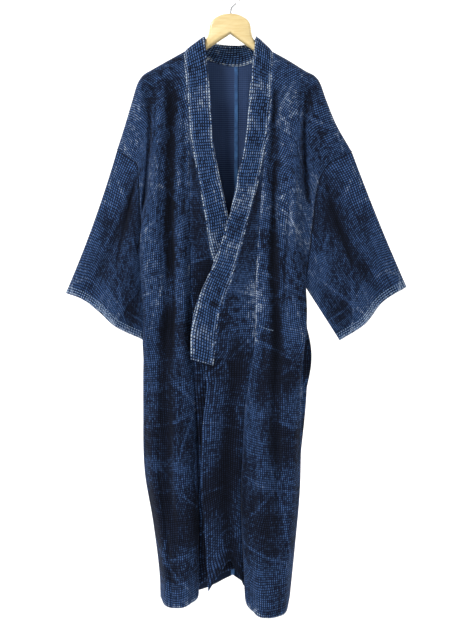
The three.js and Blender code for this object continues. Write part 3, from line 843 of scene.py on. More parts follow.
def woven_cloth(name, pitch, dash, cross_dash, cross_level, patch_size, dash_level=0.0, washed=0.0,
                figures=0.26, offset=(0, 0)):
    """Basket-woven indigo. Pitch and dashes are (across, along) in metres."""
    material, tree = new_material(name)
    place = cloth_map(tree, offset)
    x, y = (add_node(tree, "SeparateXYZ", (place,), axis) for axis in "XY")
    wear_and_highlight = add_node(tree, "Attribute", output="Fac", attribute_name="wear_and_highlight")
    painted_shade = add_node(tree, "Attribute", output="Fac", attribute_name="painted_shade")

    # Soft patches, rubbed spots where there is wear, a painted highlight in spots on fold ridges, and
    # painted shade in the folds say how pale the dashes are
    patch = blotches(tree, place, 1 / patch_size, 1.5, *SOFT_LIMITS, **FLAT)
    fine = {"Vector": place, "Scale": SMALL_PATCHES / patch_size, "Detail": 1.0}
    small = add_node(tree, "TexNoise", fine, **FLAT)
    spots = blotches(tree, place, SPOTS_PER_METRE, 2.0, *SPOT_LIMITS, **FLAT)
    rubbed_and_highlight = worked_out(tree, wear_and_highlight, ("MULTIPLY", spots))
    parts = [(PATCH_SHARE, patch), (SMALL_SHARE, small), (RUB_AND_HIGHLIGHT_SHARE, rubbed_and_highlight), (PAINTED_SHADE_SHARE, painted_shade)]
    parts += [(THREAD_SHARE, thread_value(tree, way, step)) for way, step in zip((x, y), pitch)]
    if figures:
        parts.append((figures, dotted_figures(tree, place, x, y)))
    base = worked_out(tree, added_up(tree, *parts), ("ADD", washed - DARKENED))

    # The ground, and on it the dashes across and then along the thread
    ground = coats(tree, GROUND_DEEP, (base, GROUND_LIMITS, GROUND), (base, WORN_LIMITS, GROUND_WORN))
    fibres = add_node(tree, "TexNoise", {"Vector": place, "Scale": FIBRES_PER_METRE, "Detail": 1.0}, **FLAT)
    along = dash_grid(tree, x, y, pitch, dash, (0.0, 0.0), 1)
    crossing = dash_grid(tree, x, y, pitch, cross_dash, (0.5, 0.5), 0)
    colour = ground
    for (mask, chance), extra in ((crossing, cross_level - DASHES_DOWN), (along, dash_level - DASHES_DOWN)):
        chance = worked_out(tree, chance, ("MULTIPLY", CHANCE))
        level = worked_out(tree, base, ("ADD", chance), ("ADD", extra))
        tint = coats(tree, DASH_DIM, (level, BLUE_LIMITS, DASH_BLUE), (level, PALE_LIMITS, DASH_PALE),
                     (worked_out(tree, fibres, ("MULTIPLY", FIBRE_GAPS)), None, ground))
        shown = add_node(tree, "MapRange", (level, *SHOWN_LIMITS), **SMOOTH)
        colour = coats(tree, colour, (worked_out(tree, mask, ("MULTIPLY", shown)), None, tint))
    # Painted shade: deep in a fold the colour goes towards the deepest ground
    shade = worked_out(tree, painted_shade, ("MULTIPLY", HOLLOW_SHADE))
    colour = coats(tree, colour, (shade, None, GROUND_DEEP))

    # Raised dashes and fibres break up the light, so the cotton is soft and matt to the eye
    raised = worked_out(tree, crossing[0], ("MULTIPLY", CROSS_RELIEF), ("MAXIMUM", along[0]))
    height = added_up(tree, (DASH_RELIEF, raised), (FIBRE_RELIEF, fibres))
    bump = add_node(tree, "Bump", {"Height": height, **COTTON_BUMP})
    surface(tree, {"Base Color": colour, "Sheen Weight": COTTON_SHEEN, "Normal": bump, **COTTON})
    return material


# The real threads are about 1 mm apart, so dashes that small would melt into one blue here.
# They are drawn as coarse as the photograph shows them, and coarser on the collar.
BODY_WEAVE = {
    "pitch": (4.7 * MM, 4.9 * MM), "dash": (2.3 * MM, 2.8 * MM), "cross_dash": (3.0 * MM, 1.2 * MM),
    "cross_level": -0.6, "patch_size": 0.17}
COLLAR_WEAVE = {
    "pitch": (5.4 * MM, 7.0 * MM), "dash": (2.6 * MM, 4.4 * MM), "cross_dash": (3.6 * MM, 1.8 * MM),
    "cross_level": -0.4, "dash_level": 0.32, "patch_size": 0.08, "figures": 0.0}
right_cloth = woven_cloth("indigo basket cotton, right length", offset=(0.6, 0.25), **BODY_WEAVE)
left_cloth = woven_cloth("indigo basket cotton, left length", offset=(0.9, 1.7), **BODY_WEAVE)
sleeve_cloth = woven_cloth("indigo basket cotton, sleeve", offset=(1.3, 0.7), washed=0.2, **BODY_WEAVE)
overlap_cloth = woven_cloth("indigo basket cotton, overlap", offset=(2.1, 3.2), washed=-0.08, **BODY_WEAVE)
collar_cloth = woven_cloth("indigo basket cotton, collar", offset=(0.2, 0.1), **COLLAR_WEAVE)
print("cloth materials", len([m for m in bpy.data.materials if "cotton" in m.name]))

# %% Reverse of the cloth
RIB_PITCH = 4.6 * MM
REVERSE_DARK = "#26334f"
REVERSE_PALE = "#40547c"
RIB_SHARE, CROSS_SHARE, FADE_SHARE = 1.1, 0.35, 0.7
REVERSE_LIMITS = (0.35, 1.15)
RIB_BUMP = {"Strength": 0.5, "Distance": 0.6 * MM}

# Painted shade inside the lower body: from 0.9 m below the hook down to 1.3 m, three quarters of the deep
# ground colour come in
PAINTED_SHADE_LOW_DOWN = (-0.9, -1.3, 0.0, 0.75)


def inner_face():
    """The back of the cloth: nearly plain navy with fine level ribs, and painted shade low down."""
    material, tree = new_material("indigo cotton reverse")
    place = add_node(tree, "TexCoord", output="Object")
    x, z = (add_node(tree, "SeparateXYZ", (place,), axis) for axis in "XZ")
    rib, cross = (worked_out(tree, value, ("DIVIDE", RIB_PITCH), ("PINGPONG", 0.5)) for value in (z, x))
    patch = add_node(tree, "TexNoise", {"Vector": place, "Scale": BENDS_PER_METRE, "Detail": 2.0})
    shade = added_up(tree, (RIB_SHARE, rib), (CROSS_SHARE, cross), (FADE_SHARE, patch))
    colour = coats(tree, REVERSE_DARK, (shade, REVERSE_LIMITS, REVERSE_PALE),
                   (z, PAINTED_SHADE_LOW_DOWN, GROUND_DEEP))
    bump = add_node(tree, "Bump", {"Height": rib, **RIB_BUMP})
    surface(tree, {"Base Color": colour, "Normal": bump, **COTTON})
    return material


reverse = inner_face()
print("reverse", REVERSE_DARK, "to", REVERSE_PALE)

# %% [markdown]
# The body is two long widths of cloth, each from the front hem over the shoulder to the back
# hem, with no seam on the shoulder. So each is one sheet here, over both of its solids.
# Finer creases join the large folds of the tables: they are placed one by one, most of them
# long and upright as the cloth hangs, some short ones under the arm.

# %% Creases of the body
RIGHT["front_creases"] = table(
    FOLD,
    (0.36, 0.02, 0.66, 0.3, -4, 0.035),
    (0.42, 0.0, 0.8, 0.26, 4, 0.03),
    (0.08, 0.03, 0.1, 0.34, 3, 0.035),
    (0.33, 0.2, 0.42, 0.6, 4, 0.035),
    (0.6, 0.3, 0.66, 0.72, 3.5, 0.035),
    (0.74, 0.3, 0.8, 0.66, -3.5, 0.03),
    (0.88, 0.36, 0.7, 0.48, 3, 0.03),
    (0.93, 0.42, 0.74, 0.56, -3, 0.03),
    (0.24, 0.55, 0.36, 0.95, 3.5, 0.04),
    (0.42, 0.62, 0.5, 1.05, -3, 0.035),
    (0.72, 0.66, 0.7, 1.08, 4, 0.04),
    (0.1, 0.7, 0.12, 1.1, 3, 0.035))
LEFT["front_creases"] = table(
    FOLD,
    (0.3, 0.02, 0.62, 0.3, -4, 0.035),
    (0.4, 0.0, 0.78, 0.26, 4, 0.03),
    (0.16, 0.05, 0.2, 0.36, -3.5, 0.035),
    (0.5, 0.14, 0.62, 0.52, 3.5, 0.035),
    (0.7, 0.3, 0.78, 0.62, -4, 0.03),
    (0.9, 0.34, 0.76, 0.46, 3, 0.03),
    (0.95, 0.47, 0.8, 0.58, -4, 0.03),
    (0.9, 0.53, 0.72, 0.62, 3.5, 0.03),
    (0.2, 0.46, 0.24, 0.9, 3.5, 0.04),
    (0.48, 0.6, 0.5, 1.05, 3, 0.035),
    (0.64, 0.62, 0.74, 1.05, -3.5, 0.04),
    (0.1, 0.72, 0.14, 1.1, 3, 0.035))
BACK_CREASES = table(
    FOLD,
    (0.3, 0.02, 0.6, 0.3, 4, 0.03),
    (0.14, 0.05, 0.1, 0.5, -3, 0.035),
    (0.55, 0.1, 0.58, 0.8, 4, 0.035),
    (0.84, 0.2, 0.86, 0.7, -4, 0.03),
    (0.9, 0.36, 0.72, 0.5, 3, 0.03),
    (0.3, 0.5, 0.32, 1.1, 4, 0.04),
    (0.62, 0.6, 0.6, 1.1, -3.5, 0.035))
crease_tables = (RIGHT["front_creases"], LEFT["front_creases"], BACK_CREASES)
print("creases", sum(len(rows["u0"]) for rows in crease_tables))

# %% Hems, seams and the light on folds
HEM_DEPTH = 20.0
HEM_RAISE = 1.0
LAYER_STEP = 1.5
SEWING_DENT = 0.8
SEWING_REACH = 1.6
SEWING_FROM_FOLD = 2.0
SEAM_DIP = 1.3
SEAM_DIP_REACH = 3.0
CREASE_SHADE = 1.6
FULL_HOLLOW = 14.0
FULL_RIDGE = 34.0
RIDGE_HIGHLIGHT = 0.12


def raised_layer(from_edge, depth):
    """The cloth stands higher where its edge is turned in."""
    return HEM_RAISE * smooth_step(depth + LAYER_STEP, depth - LAYER_STEP, from_edge)


def hem_band(from_edge):
    """The turned-up hem: one more layer of cloth, and the dent of its sewing line."""
    from_sewing = from_edge - HEM_DEPTH + SEWING_FROM_FOLD
    return raised_layer(from_edge, HEM_DEPTH) - SEWING_DENT * near(from_sewing, SEWING_REACH)


def fold_shade_and_highlight(inward):
    """Painted shade by how deep a point lies in a trough, from 0 to 1, and a painted highlight on a ridge.
    """
    return np.clip(inward / FULL_HOLLOW, 0, 1), np.clip(-inward / FULL_RIDGE, 0, RIDGE_HIGHLIGHT)


print("hem", HEM_DEPTH, "mm deep")

# %% Body lengths
BODY_COLUMNS = 96
BODY_ROWS = 210
SHOULDER_ROWS = 14
SEAM_INSET = 0.002
EDGE_CROWDING = 0.5
SIDE_SEAM_CLOSE = 0.3
OPENING_OUT = (0.46, 0.66)
OPEN_FOLD_SHADE = 0.25
SKIRT_DARKER = (0.4, 0.6)
SKIRT_EASE = 60.0
UPPER_WEAR = 0.54
CROSSING_AT = 0.475
CROSSING_REACH = 0.085
CROSSING_WEAR = 0.9
RUB_REACH = 6.0
CENTRE_WEAR = 0.35
SIDE_WEAR = (0.08, 0.58)
HEM_WEAR = 0.8
LOW_WEAR = 0.2
LOW_REACH = 50.0
BESIDE_CROSSING = 20.0


def body_drops():
    """Close rows over the shoulder, and even rows below."""
    top = SHOULDER_ROUND * (1 - np.cos(np.linspace(0, math.pi / 2, SHOULDER_ROWS)))
    return np.concatenate([top[:-1], np.linspace(SHOULDER_ROUND, LENGTH, BODY_ROWS)])


def crossing_wear(v, across, reach):
    """The rubbed spot along the left overlap's seam, where the fronts cross."""
    return CROSSING_WEAR * near(v - CROSSING_AT, CROSSING_REACH) * near(across, reach)


def body_face(half, face, drops, u, seed):
    """One face of a body length: its points in millimetres, its wear with a painted highlight on ridges,
    and its painted shade in folds.
    """
    front = face == "front"
    outward = -1 if front else 1
    points = body_points(half, face, drops, u)
    v = (drops / LENGTH)[:, None]
    over = rounded_over(drops)[:, None]
    crease = fold_depth(half["front_creases"] if front else BACK_CREASES, u[None], v)
    folds = fold_depth(half[face + "_folds"], u[None], v) + CREASE_SHADE * crease
    across = lengths(points, 1)
    total = across[:, -1:]
    from_side = total - across
    from_hem = (LENGTH - drops)[:, None]
    dip = SEAM_DIP * (near(across, SEAM_DIP_REACH) + near(from_side, SEAM_DIP_REACH))
    points[..., 1] += crease + crumpled(points, seed) * over * inside_share(u[None])
    points[..., 1] += outward * (hem_band(from_hem) - dip * over)
    points[:, -1, 1] -= outward * SIDE_SEAM_CLOSE
    # Painted shade in the troughs, weaker lower down where the folds open out, and a painted highlight on
    # the ridges
    painted_shade, ridge_highlight = fold_shade_and_highlight(-outward * folds)
    painted_shade = painted_shade * mix(1, OPEN_FOLD_SHADE, smooth_step(*OPENING_OUT, v))
    on_skirt = smooth_step(UNDERARM_DROP, UNDERARM_DROP + SKIRT_EASE, drops)[:, None]
    wear_and_highlight = CENTRE_WEAR * near(across, RUB_REACH) + mix(*SIDE_WEAR, on_skirt) * near(from_side, RUB_REACH)
    wear_and_highlight = wear_and_highlight + HEM_WEAR * near(from_hem, RUB_REACH) + LOW_WEAR * near(from_hem, LOW_REACH)
    wear_and_highlight = wear_and_highlight + UPPER_WEAR * smooth_step(*SKIRT_DARKER[::-1], v)
    if front and half["side"] > 0:
        wear_and_highlight = wear_and_highlight + crossing_wear(v, across, BESIDE_CROSSING)
    return points, wear_and_highlight + ridge_highlight, painted_shade


def make_body(half, side, cloth, seed):
    drops = body_drops()
    even = np.linspace(0, 1, BODY_COLUMNS)
    crowded = 0.5 - 0.5 * np.cos(math.pi * even)
    u = SEAM_INSET + (1 - SEAM_INSET) * mix(even, crowded, EDGE_CROWDING)
    front = body_face(half, "front", drops, u, seed)
    back = body_face(half, "back", drops, u, seed + 50)
    points, wear_and_highlight, painted_shade = (np.concatenate([f[::-1], b[1:]]) for f, b in zip(front, back))
    metres = placed(points)
    piece = cloth_piece(side + "_length", metres, wear_and_highlight, painted_shade, (cloth, reverse), turned=half["side"] < 0,
                        straight_side=True)
    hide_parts("body_" + side + "_front", "body_" + side + "_back")
    return piece, metres


body_right, right_grid = make_body(RIGHT, "right", right_cloth, 11)
body_left, left_grid = make_body(LEFT, "left", left_cloth, 23)

# %% [markdown]
# An overlap panel widens a front so that it can close. It starts in a point under the collar.
# The left one lies on top and shows its free edge, which hangs in one long soft wave. Its edge
# runs on a little way under the end of the collar, as the real one does.

# %% Overlap panels
OVERLAP_COLUMNS = 44
OVERLAP_ROWS = 170
POINT_BELOW_START = 6.0
SEAM_ALLOWANCE = 5.0
ALLOWANCE_DEPTH = 2.0
ALLOWANCE_EDGE = 1.5
EDGE_BELOW_COLLAR = 13.0
TUCK_LENGTH = 34.0
TUCK_STOPS = 4.0
TUCK_DEPTH = 4.5
TUCK_FADES_OVER = 30.0
OVERLAP_CRUMPLE = 0.8
OVERLAP_SHADE = 0.5
OVERLAP_WEAR = {"seam": 0.4, "edge": 0.45, "hem": 0.7}
EDGE_RUB_REACH = 5.0
ON_CROSSING = 95.0


def make_overlap(half, side, seed):
    drops = np.linspace(half["overlap_drop"] + POINT_BELOW_START, LENGTH, OVERLAP_ROWS)
    z = NECK_Z - drops
    seam = edge_at(half["overlap_seam"], z)
    end_drop = half["collar_end_drop"]
    below_collar = NECK_Z - end_drop - EDGE_BELOW_COLLAR
    edge = edge_at(half["front_edge"], np.minimum(z, below_collar))
    under = collar_seam(half, z)
    tuck = smooth_step(end_drop - TUCK_LENGTH, end_drop - TUCK_STOPS, drops)[:, None]
    tucked = under
    if half["side"] > 0:
        tucked = mix(under, edge, tuck) + point(0, TUCK_DEPTH * np.ravel(tuck), 0)
    tucked[..., 2] = z
    free = np.where((drops <= end_drop)[:, None], tucked, edge_at(half["front_edge"], z))
    if half["side"] > 0:
        past = smooth_step(end_drop + TUCK_FADES_OVER, end_drop, drops)
        free[:, 0] = np.where(drops > end_drop, mix(free[:, 0], edge[0, 0], past), free[:, 0])
        free[:, 1] += np.where(drops > end_drop, TUCK_DEPTH * past, 0)
    width = np.linalg.norm(free - seam, axis=1)[:, None]
    across = np.linspace(0, 1, OVERLAP_COLUMNS)[None] * (width + SEAM_ALLOWANCE) - SEAM_ALLOWANCE
    u = np.clip(across / width, 0, 1)
    v = (drops / LENGTH)[:, None]
    points = mix(seam[:, None], free[:, None], (across / width)[..., None])
    points[..., 1] += ALLOWANCE_DEPTH * smooth_step(ALLOWANCE_EDGE, 0, across)
    points[..., 2] -= read(half["overlap_hem"], "drop", u) * v ** 6
    folds = fold_depth(half["overlap_folds"], u, v)
    from_hem = (LENGTH - drops)[:, None]
    points[..., 1] += folds + crumpled(points, seed) * OVERLAP_CRUMPLE * inside_share(u)
    points[..., 1] += SEAM_DIP * near(across, SEAM_DIP_REACH) - hem_band(from_hem)
    # Painted shade in the folds, at half strength, and a painted highlight on the ridges
    painted_shade, ridge_highlight = fold_shade_and_highlight(folds * OVERLAP_SHADE)
    wear_and_highlight = OVERLAP_WEAR["seam"] * near(across, RUB_REACH) + ridge_highlight
    wear_and_highlight = wear_and_highlight + OVERLAP_WEAR["edge"] * near(width - across, EDGE_RUB_REACH)
    wear_and_highlight = wear_and_highlight + OVERLAP_WEAR["hem"] * near(from_hem, EDGE_RUB_REACH)
    if half["side"] > 0:
        wear_and_highlight = wear_and_highlight + crossing_wear(v, across, ON_CROSSING)
    piece = cloth_piece(side + "_overlap", placed(points), wear_and_highlight, painted_shade, (overlap_cloth, reverse),
                        turned=half["side"] < 0)
    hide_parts("overlap_" + side)
    return piece


overlap_right = make_overlap(RIGHT, "right", 5)
overlap_left = make_overlap(LEFT, "left", 7)

# %% [markdown]
# A sleeve is one width of cloth folded at the top and sewn below, so it is a flat tube. Its
# threads run with the arm. The cuff is turned in and sewn with three close lines.

# %% Sleeves
SLEEVE_STATIONS = 70
SLEEVE_RINGS = 90
TOP_CROWDING = 0.45
CUFF_BAND = 18.0
CUFF_LINES = (5.0, 10.5, 16.0)
CUFF_DENT = 0.56
CUFF_DENT_REACH = 1.3
CUFF_FLATNESS = 5.0
CUFF_SWELL = 9.0
SLEEVE_SWELL = 6.0
CUFF_WEAR = 0.9
BAND_WEAR = 0.25
BAND_FADE = (2.0, 4.0)
FOLD_LINE_WEAR = 0.2
FOLD_LINE_REACH = 0.02
FOLDS_FULL_AT = 0.3
CRUMPLE_FULL_AT = 0.1
ARMHOLE_SHADE = 0.6
ARMHOLE_REACH = 3.0
SLEEVE_CREASES = table(
    FOLD,
    (0.2, 0.0, 0.45, 0.7, 3.5, 0.03),
    (0.75, 0.0, 0.5, 0.55, 3, 0.035),
    (0.9, 0.05, 0.72, 0.75, -3, 0.03),
    (0.5, 0.3, 0.4, 1.05, -3, 0.035),
    (0.12, 0.4, 0.14, 1.1, 2.5, 0.03),
    (0.78, 0.5, 0.7, 1.1, 3, 0.03))
ARMHOLE_SHIFTS = (0.0015, 0.006)


def sleeve_face(half, face, drops, v, seed):
    """One face of a sleeve: its points in millimetres, its wear with a painted highlight on ridges, and its
    painted shade in folds.
    """
    way = -1 if face == "front" else 1
    q = drops / UNDERARM_DROP
    start = side_edge(half, drops, face)
    depth = rounded_over(drops) * (CUFF_FLATNESS + CUFF_SWELL * np.sin(math.pi * q))
    end = point(read(half["cuff"], "x", q), way * depth, read(half["cuff"], "z", q))
    arm = np.linalg.norm(end - start, axis=-1)[None]
    along = mix(mix(*ARMHOLE_SHIFTS, q)[None] - SEAM_ALLOWANCE / arm, 1, v)
    points = mix(start[None], end[None], along[..., None])
    turned_in = smooth_step(ALLOWANCE_EDGE, 0, along * arm)
    points[..., 1] -= way * ALLOWANCE_DEPTH * turned_in * rounded_over(drops)[None]
    points[..., 2] -= ALLOWANCE_DEPTH * turned_in * near(q[None], FOLD_LINE_REACH)
    along = np.maximum(along, 0)
    points[..., 0] += half["sleeve_sag"] * 4 * along * (1 - along) * (1 - q)
    points[..., 1] += way * SLEEVE_SWELL * np.sin(math.pi * along) * np.sin(math.pi * q)
    inside = inside_share(q[None])
    crease = fold_depth(SLEEVE_CREASES, q[None], along)
    folds = fold_depth(half["sleeve_folds"], q[None], along) * smooth_step(0, FOLDS_FULL_AT, along)
    soft = inside * smooth_step(0, CRUMPLE_FULL_AT, along)
    points[..., 1] += folds + crease + crumpled(points, seed) * soft
    from_seam, from_cuff = along * arm, (1 - along) * arm
    band = raised_layer(from_cuff, CUFF_BAND) - sum(
        CUFF_DENT * near(from_cuff - line, CUFF_DENT_REACH) for line in CUFF_LINES)
    points[..., 1] += way * (band - SEAM_DIP * near(from_seam, SEAM_DIP_REACH)) * inside
    # Painted shade in the folds and along the armhole seam, and a painted highlight on the ridges
    painted_shade, ridge_highlight = fold_shade_and_highlight(-way * (folds + CREASE_SHADE * crease))
    painted_shade = np.clip(painted_shade + ARMHOLE_SHADE * near(from_seam, ARMHOLE_REACH), 0, 1)
    from_fold = np.minimum(q, 1 - q)[None] * UNDERARM_DROP / 2
    wear_and_highlight = CUFF_WEAR * near(from_cuff, RUB_REACH) + FOLD_LINE_WEAR * near(from_fold, RUB_REACH)
    wear_and_highlight = wear_and_highlight + BAND_WEAR * smooth_step(CUFF_BAND + BAND_FADE[0], CUFF_BAND - BAND_FADE[1], from_cuff)
    return points, wear_and_highlight + ridge_highlight, painted_shade


def make_sleeve(half, side, seed):
    ease = np.linspace(0, 1, SLEEVE_STATIONS)
    drops = UNDERARM_DROP * mix(ease ** 2, ease, TOP_CROWDING)
    v = np.linspace(0, 1, SLEEVE_RINGS)[:, None]
    front = sleeve_face(half, "front", drops, v, seed)
    back = sleeve_face(half, "back", drops, v, seed + 50)
    points, wear_and_highlight, painted_shade = (np.concatenate([f, b[:, :0:-1]], axis=1) for f, b in zip(front, back))
    metres = placed(points)
    piece = cloth_piece(side + "_sleeve", metres, wear_and_highlight, painted_shade, (sleeve_cloth, reverse), ring=True,
                        turned=half["side"] < 0)
    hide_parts("sleeve_" + side)
    return piece, metres


sleeve_right, sleeve_right_grid = make_sleeve(RIGHT, "right", 31)
sleeve_left, sleeve_left_grid = make_sleeve(LEFT, "left", 37)

# %% [markdown]
# The collar is one long band, folded over the raw edge of the fronts and the neck, so it is
# thicker than the rest and its edges are round. It is the most worn piece of all.

# %% Collar
COLLAR_COLUMNS = 24
COLLAR_STEP = 4.5
COLLAR_THICKNESS = 2.6 * MM
COLLAR_CROWN = 1.6 * MM
COLLAR_LIFT = 1.2 * MM
COLLAR_SEWING = 0.1
COLLAR_LAP = 0.05
PUCKER = 0.5 * MM
PUCKER_PITCH = 23 * MM
PUCKER_SLANT = 5
PUCKER_REACH = 0.3
RIPPLE_PITCHES = (61 * MM, 147 * MM)
SEWING_GROOVE = 0.7 * MM
GROOVE_REACH = 0.03
COLLAR_RUB = 0.13
COLLAR_WEAR = {"seam": 0.8, "fold": 1.05, "all over": 0.12, "ends": 0.5}
COLLAR_CLOSE_ROWS = [0, 1.5, 3, 6, 9, 13.5]
NECK_STATIONS = 26


def collar_lines():
    """Seam points and free-edge points from the right front's end to the left front's end."""
    def down(half):
        start, end = COLLAR_CLOSE_ROWS[-1] + COLLAR_STEP, half["collar_end_drop"]
        return np.concatenate([COLLAR_CLOSE_ROWS, np.arange(start, end, COLLAR_STEP), [end]])
    right, left = NECK_Z - down(RIGHT), NECK_Z - down(LEFT)
    turn = np.linspace(0, math.pi / 2, NECK_STATIONS)
    seam = [collar_seam(RIGHT, right)[::-1], neck_seam(RIGHT, turn[1:]), neck_seam(LEFT, turn[1:-1])[::-1],
            collar_seam(LEFT, left)]
    free = [collar_free(RIGHT, right)[::-1], neck_free(RIGHT, turn[1:]), neck_free(LEFT, turn[1:-1])[::-1],
            collar_free(LEFT, left)]
    return np.concatenate(seam), np.concatenate(free)


def surface_normals(points):
    """Unit normals of a grid, across by along."""
    normal = np.cross(np.gradient(points, axis=1), np.gradient(points, axis=0))
    return normal / np.linalg.norm(normal, axis=-1, keepdims=True)


def make_collar():
    seam, free = collar_lines()
    across = np.linspace(-COLLAR_LAP, 1, COLLAR_COLUMNS)[None, :, None]
    metres = placed(mix(seam[:, None], free[:, None], across))
    run = lengths(metres, 0).mean(axis=1)[:, None]
    c = across[..., 0]
    crown = COLLAR_LIFT - COLLAR_CROWN * np.abs(2 * c - 1) ** 4
    full_turns = 2 * math.pi * run
    pucker = PUCKER * np.sin(full_turns / PUCKER_PITCH + PUCKER_SLANT * c) * near(c, PUCKER_REACH)
    short, long = (full_turns / pitch for pitch in RIPPLE_PITCHES)
    ripple = PUCKER * np.sin(short) * np.sin(long + 1)
    line = -SEWING_GROOVE * near(c - COLLAR_SEWING, GROOVE_REACH)
    metres = metres + surface_normals(metres) * (crown + pucker + ripple + line)[..., None]
    from_end = np.minimum(run, run[-1] - run)
    wear_and_highlight = COLLAR_WEAR["seam"] * near(c, COLLAR_RUB) + COLLAR_WEAR["fold"] * near(1 - c, COLLAR_RUB)
    wear_and_highlight = wear_and_highlight + COLLAR_WEAR["all over"] + COLLAR_WEAR["ends"] * near(from_end, RUB_REACH * MM)
    painted_shade = np.zeros_like(wear_and_highlight)
    piece = cloth_piece("neck_band", metres, wear_and_highlight, painted_shade, (collar_cloth,),
                        thickness=COLLAR_THICKNESS)
    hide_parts("collar")
    return piece, metres


collar, collar_grid = make_collar()

# %% [markdown]
# Inside the back, a bright strip covers the seam allowances of the centre-back seam. It lies
# on the back panels, so it takes its points from them.

# %% Strip over the centre-back seam
STRIP_WIDTH = 8.0
STRIP_START = 0.02
STRIP_STANDS = 3.4
STRIP_BOW = 0.5
STRIP_COLUMNS = 9
STRIP_ROWS = 170
STRIP_THICKNESS = 0.9 * MM
FADED_SPOTS_PER_METRE = 60.0

# A smooth plain tape: brighter than the cloth, and slightly uneven in spots of 17 mm where it has faded
tape_cloth, tree = new_material("blue cotton tape")
fading = blotches(tree, cloth_map(tree), FADED_SPOTS_PER_METRE, 2.0, *SOFT_LIMITS, **FLAT)
surface(tree, {"Base Color": coats(tree, "#2a4d7c", (fading, None, "#3c6a9f")), "Roughness": 0.85})


def make_strip():
    drops = np.linspace(mix(DROPS[NECK_ROWS], DROPS[NECK_ROWS + 1], STRIP_START), LENGTH, STRIP_ROWS)
    offsets = np.linspace(-STRIP_WIDTH / 2, STRIP_WIDTH / 2, STRIP_COLUMNS)
    points = np.repeat(back_inner(RIGHT, drops)[:, None], STRIP_COLUMNS, axis=1)
    points[..., 0] += offsets
    points[..., 1] -= STRIP_STANDS - STRIP_BOW * np.abs(offsets) / STRIP_WIDTH
    metres = placed(points)
    none = np.zeros(metres.shape[:2])
    piece = cloth_piece("seam_tape", metres, none, none, (tape_cloth,), turned=True,
                        thickness=STRIP_THICKNESS)
    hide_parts("back_seam_strip")
    return piece


strip = make_strip()

# %% [markdown]
# The sewing shows as rows of short running stitches: three pale rows round each cuff, one row
# along the hems, one along the collar's seam, and a short mend beside the left overlap. Each
# stitch is a small spindle that lies on the cloth, and a row of them is laid along a line of a
# sheet's own grid. A real thread is finer than a pixel here, so it is drawn about twice as wide.

# %% Stitches
STITCH_LENGTH = 3.6 * MM
STITCH_PITCH = 5.8 * MM
STITCH_WIDTH = 1.6 * MM
STITCH_HEIGHT = 0.8 * MM

# A spindle has two rings along its length, each with four corners, across and out of the cloth
SPINDLE_RINGS = (0.25, 0.75)
SPINDLE_CORNERS = ((-0.5, 0.0), (0.0, 1.0), (0.5, 0.0), (0.0, -0.4))


def grid_line(points, rows, columns):
    """Points and normals along a line of a grid, from row and column numbers with fractions."""
    rows, columns = np.broadcast_arrays(np.asarray(rows, float), np.asarray(columns, float))
    i = np.clip(rows.astype(int), 0, points.shape[0] - 2)
    j = np.clip(columns.astype(int), 0, points.shape[1] - 2)
    s, t = (rows - i)[:, None], (columns - j)[:, None]
    def sample(values):
        above = mix(values[i, j], values[i, j + 1], t)
        below = mix(values[i + 1, j], values[i + 1, j + 1], t)
        return mix(above, below, s)
    return sample(points), sample(surface_normals(points))


def stitch_row(line, normals, facing):
    """Vertices and faces of the stitches along one line. Facing says which way is out."""
    run = np.concatenate([[0], np.cumsum(np.linalg.norm(np.diff(line, axis=0), axis=1))])
    centres = np.arange(STITCH_PITCH, run[-1] - STITCH_PITCH, STITCH_PITCH)
    def at(places, values):
        return np.stack([np.interp(places, run, values[:, k]) for k in range(3)], axis=1)
    start, end = at(centres - STITCH_LENGTH / 2, line), at(centres + STITCH_LENGTH / 2, line)
    up = at(centres, normals) * facing
    side = np.cross(end - start, up)
    side /= np.linalg.norm(side, axis=1, keepdims=True)
    rings = []
    for share in SPINDLE_RINGS:
        for over, out in SPINDLE_CORNERS:
            rings.append(mix(start, end, share) + side * STITCH_WIDTH * over + up * STITCH_HEIGHT * out)
    points = np.stack([start, *rings, end], axis=1)
    faces = [(0, 1 + k, 1 + (k + 1) % 4) for k in range(4)]
    faces += [(1 + k, 5 + k, 5 + (k + 1) % 4, 1 + (k + 1) % 4) for k in range(4)]
    faces += [(9, 5 + (k + 1) % 4, 5 + k) for k in range(4)]
    return points, faces


def stitches(name, rows, material):
    """One mesh with all stitches of a piece. Each row is (grid, rows, columns, facing)."""
    vertices, faces = [], []
    for grid, row_numbers, column_numbers, facing in rows:
        points, pattern = stitch_row(*grid_line(grid, row_numbers, column_numbers), facing)
        for stitch in points:
            first = len(vertices)
            vertices.extend(stitch.tolist())
            faces.extend(tuple(first + k for k in face) for face in pattern)
    mesh = bpy.data.meshes.new(name)
    mesh.from_pydata(vertices, [], faces)
    mesh.materials.append(material)
    piece = add_piece(name, mesh)
    print(name, len(vertices) // 10, "stitches")
    return piece


def thread(name, colour):
    """Twisted cotton thread, matt to the eye."""
    material, tree = new_material(name)
    surface(tree, {"Base Color": colour, "Roughness": 0.8})
    return material


pale_thread = thread("pale blue cotton thread", "#98b3d2")
faded_thread = thread("faded blue cotton thread", "#7390bb")
dark_thread = thread("indigo cotton thread", "#26406d")

# %% Rows of stitches
LINE_POINTS = 400
SHARE = np.linspace(0, 1, LINE_POINTS)
SHORT_OF_EDGE = 0.01


def rows_from_edge(grid, distance, column):
    """The row number at a distance in metres from a grid's last row."""
    run = lengths(grid[:, column:column + 1], 0)[:, 0]
    return np.interp(run[-1] - distance, run, np.arange(len(run)))


def sleeve_stitches(grid, side, facing):
    columns = SHARE * (grid.shape[1] - 1 - SHORT_OF_EDGE)
    rows = []
    for line in CUFF_LINES:
        edge_rows = [rows_from_edge(grid, line * MM, int(c)) for c in columns]
        rows.append((grid, np.array(edge_rows), columns, facing))
    return stitches(side + "_cuff_stitches", rows, pale_thread)


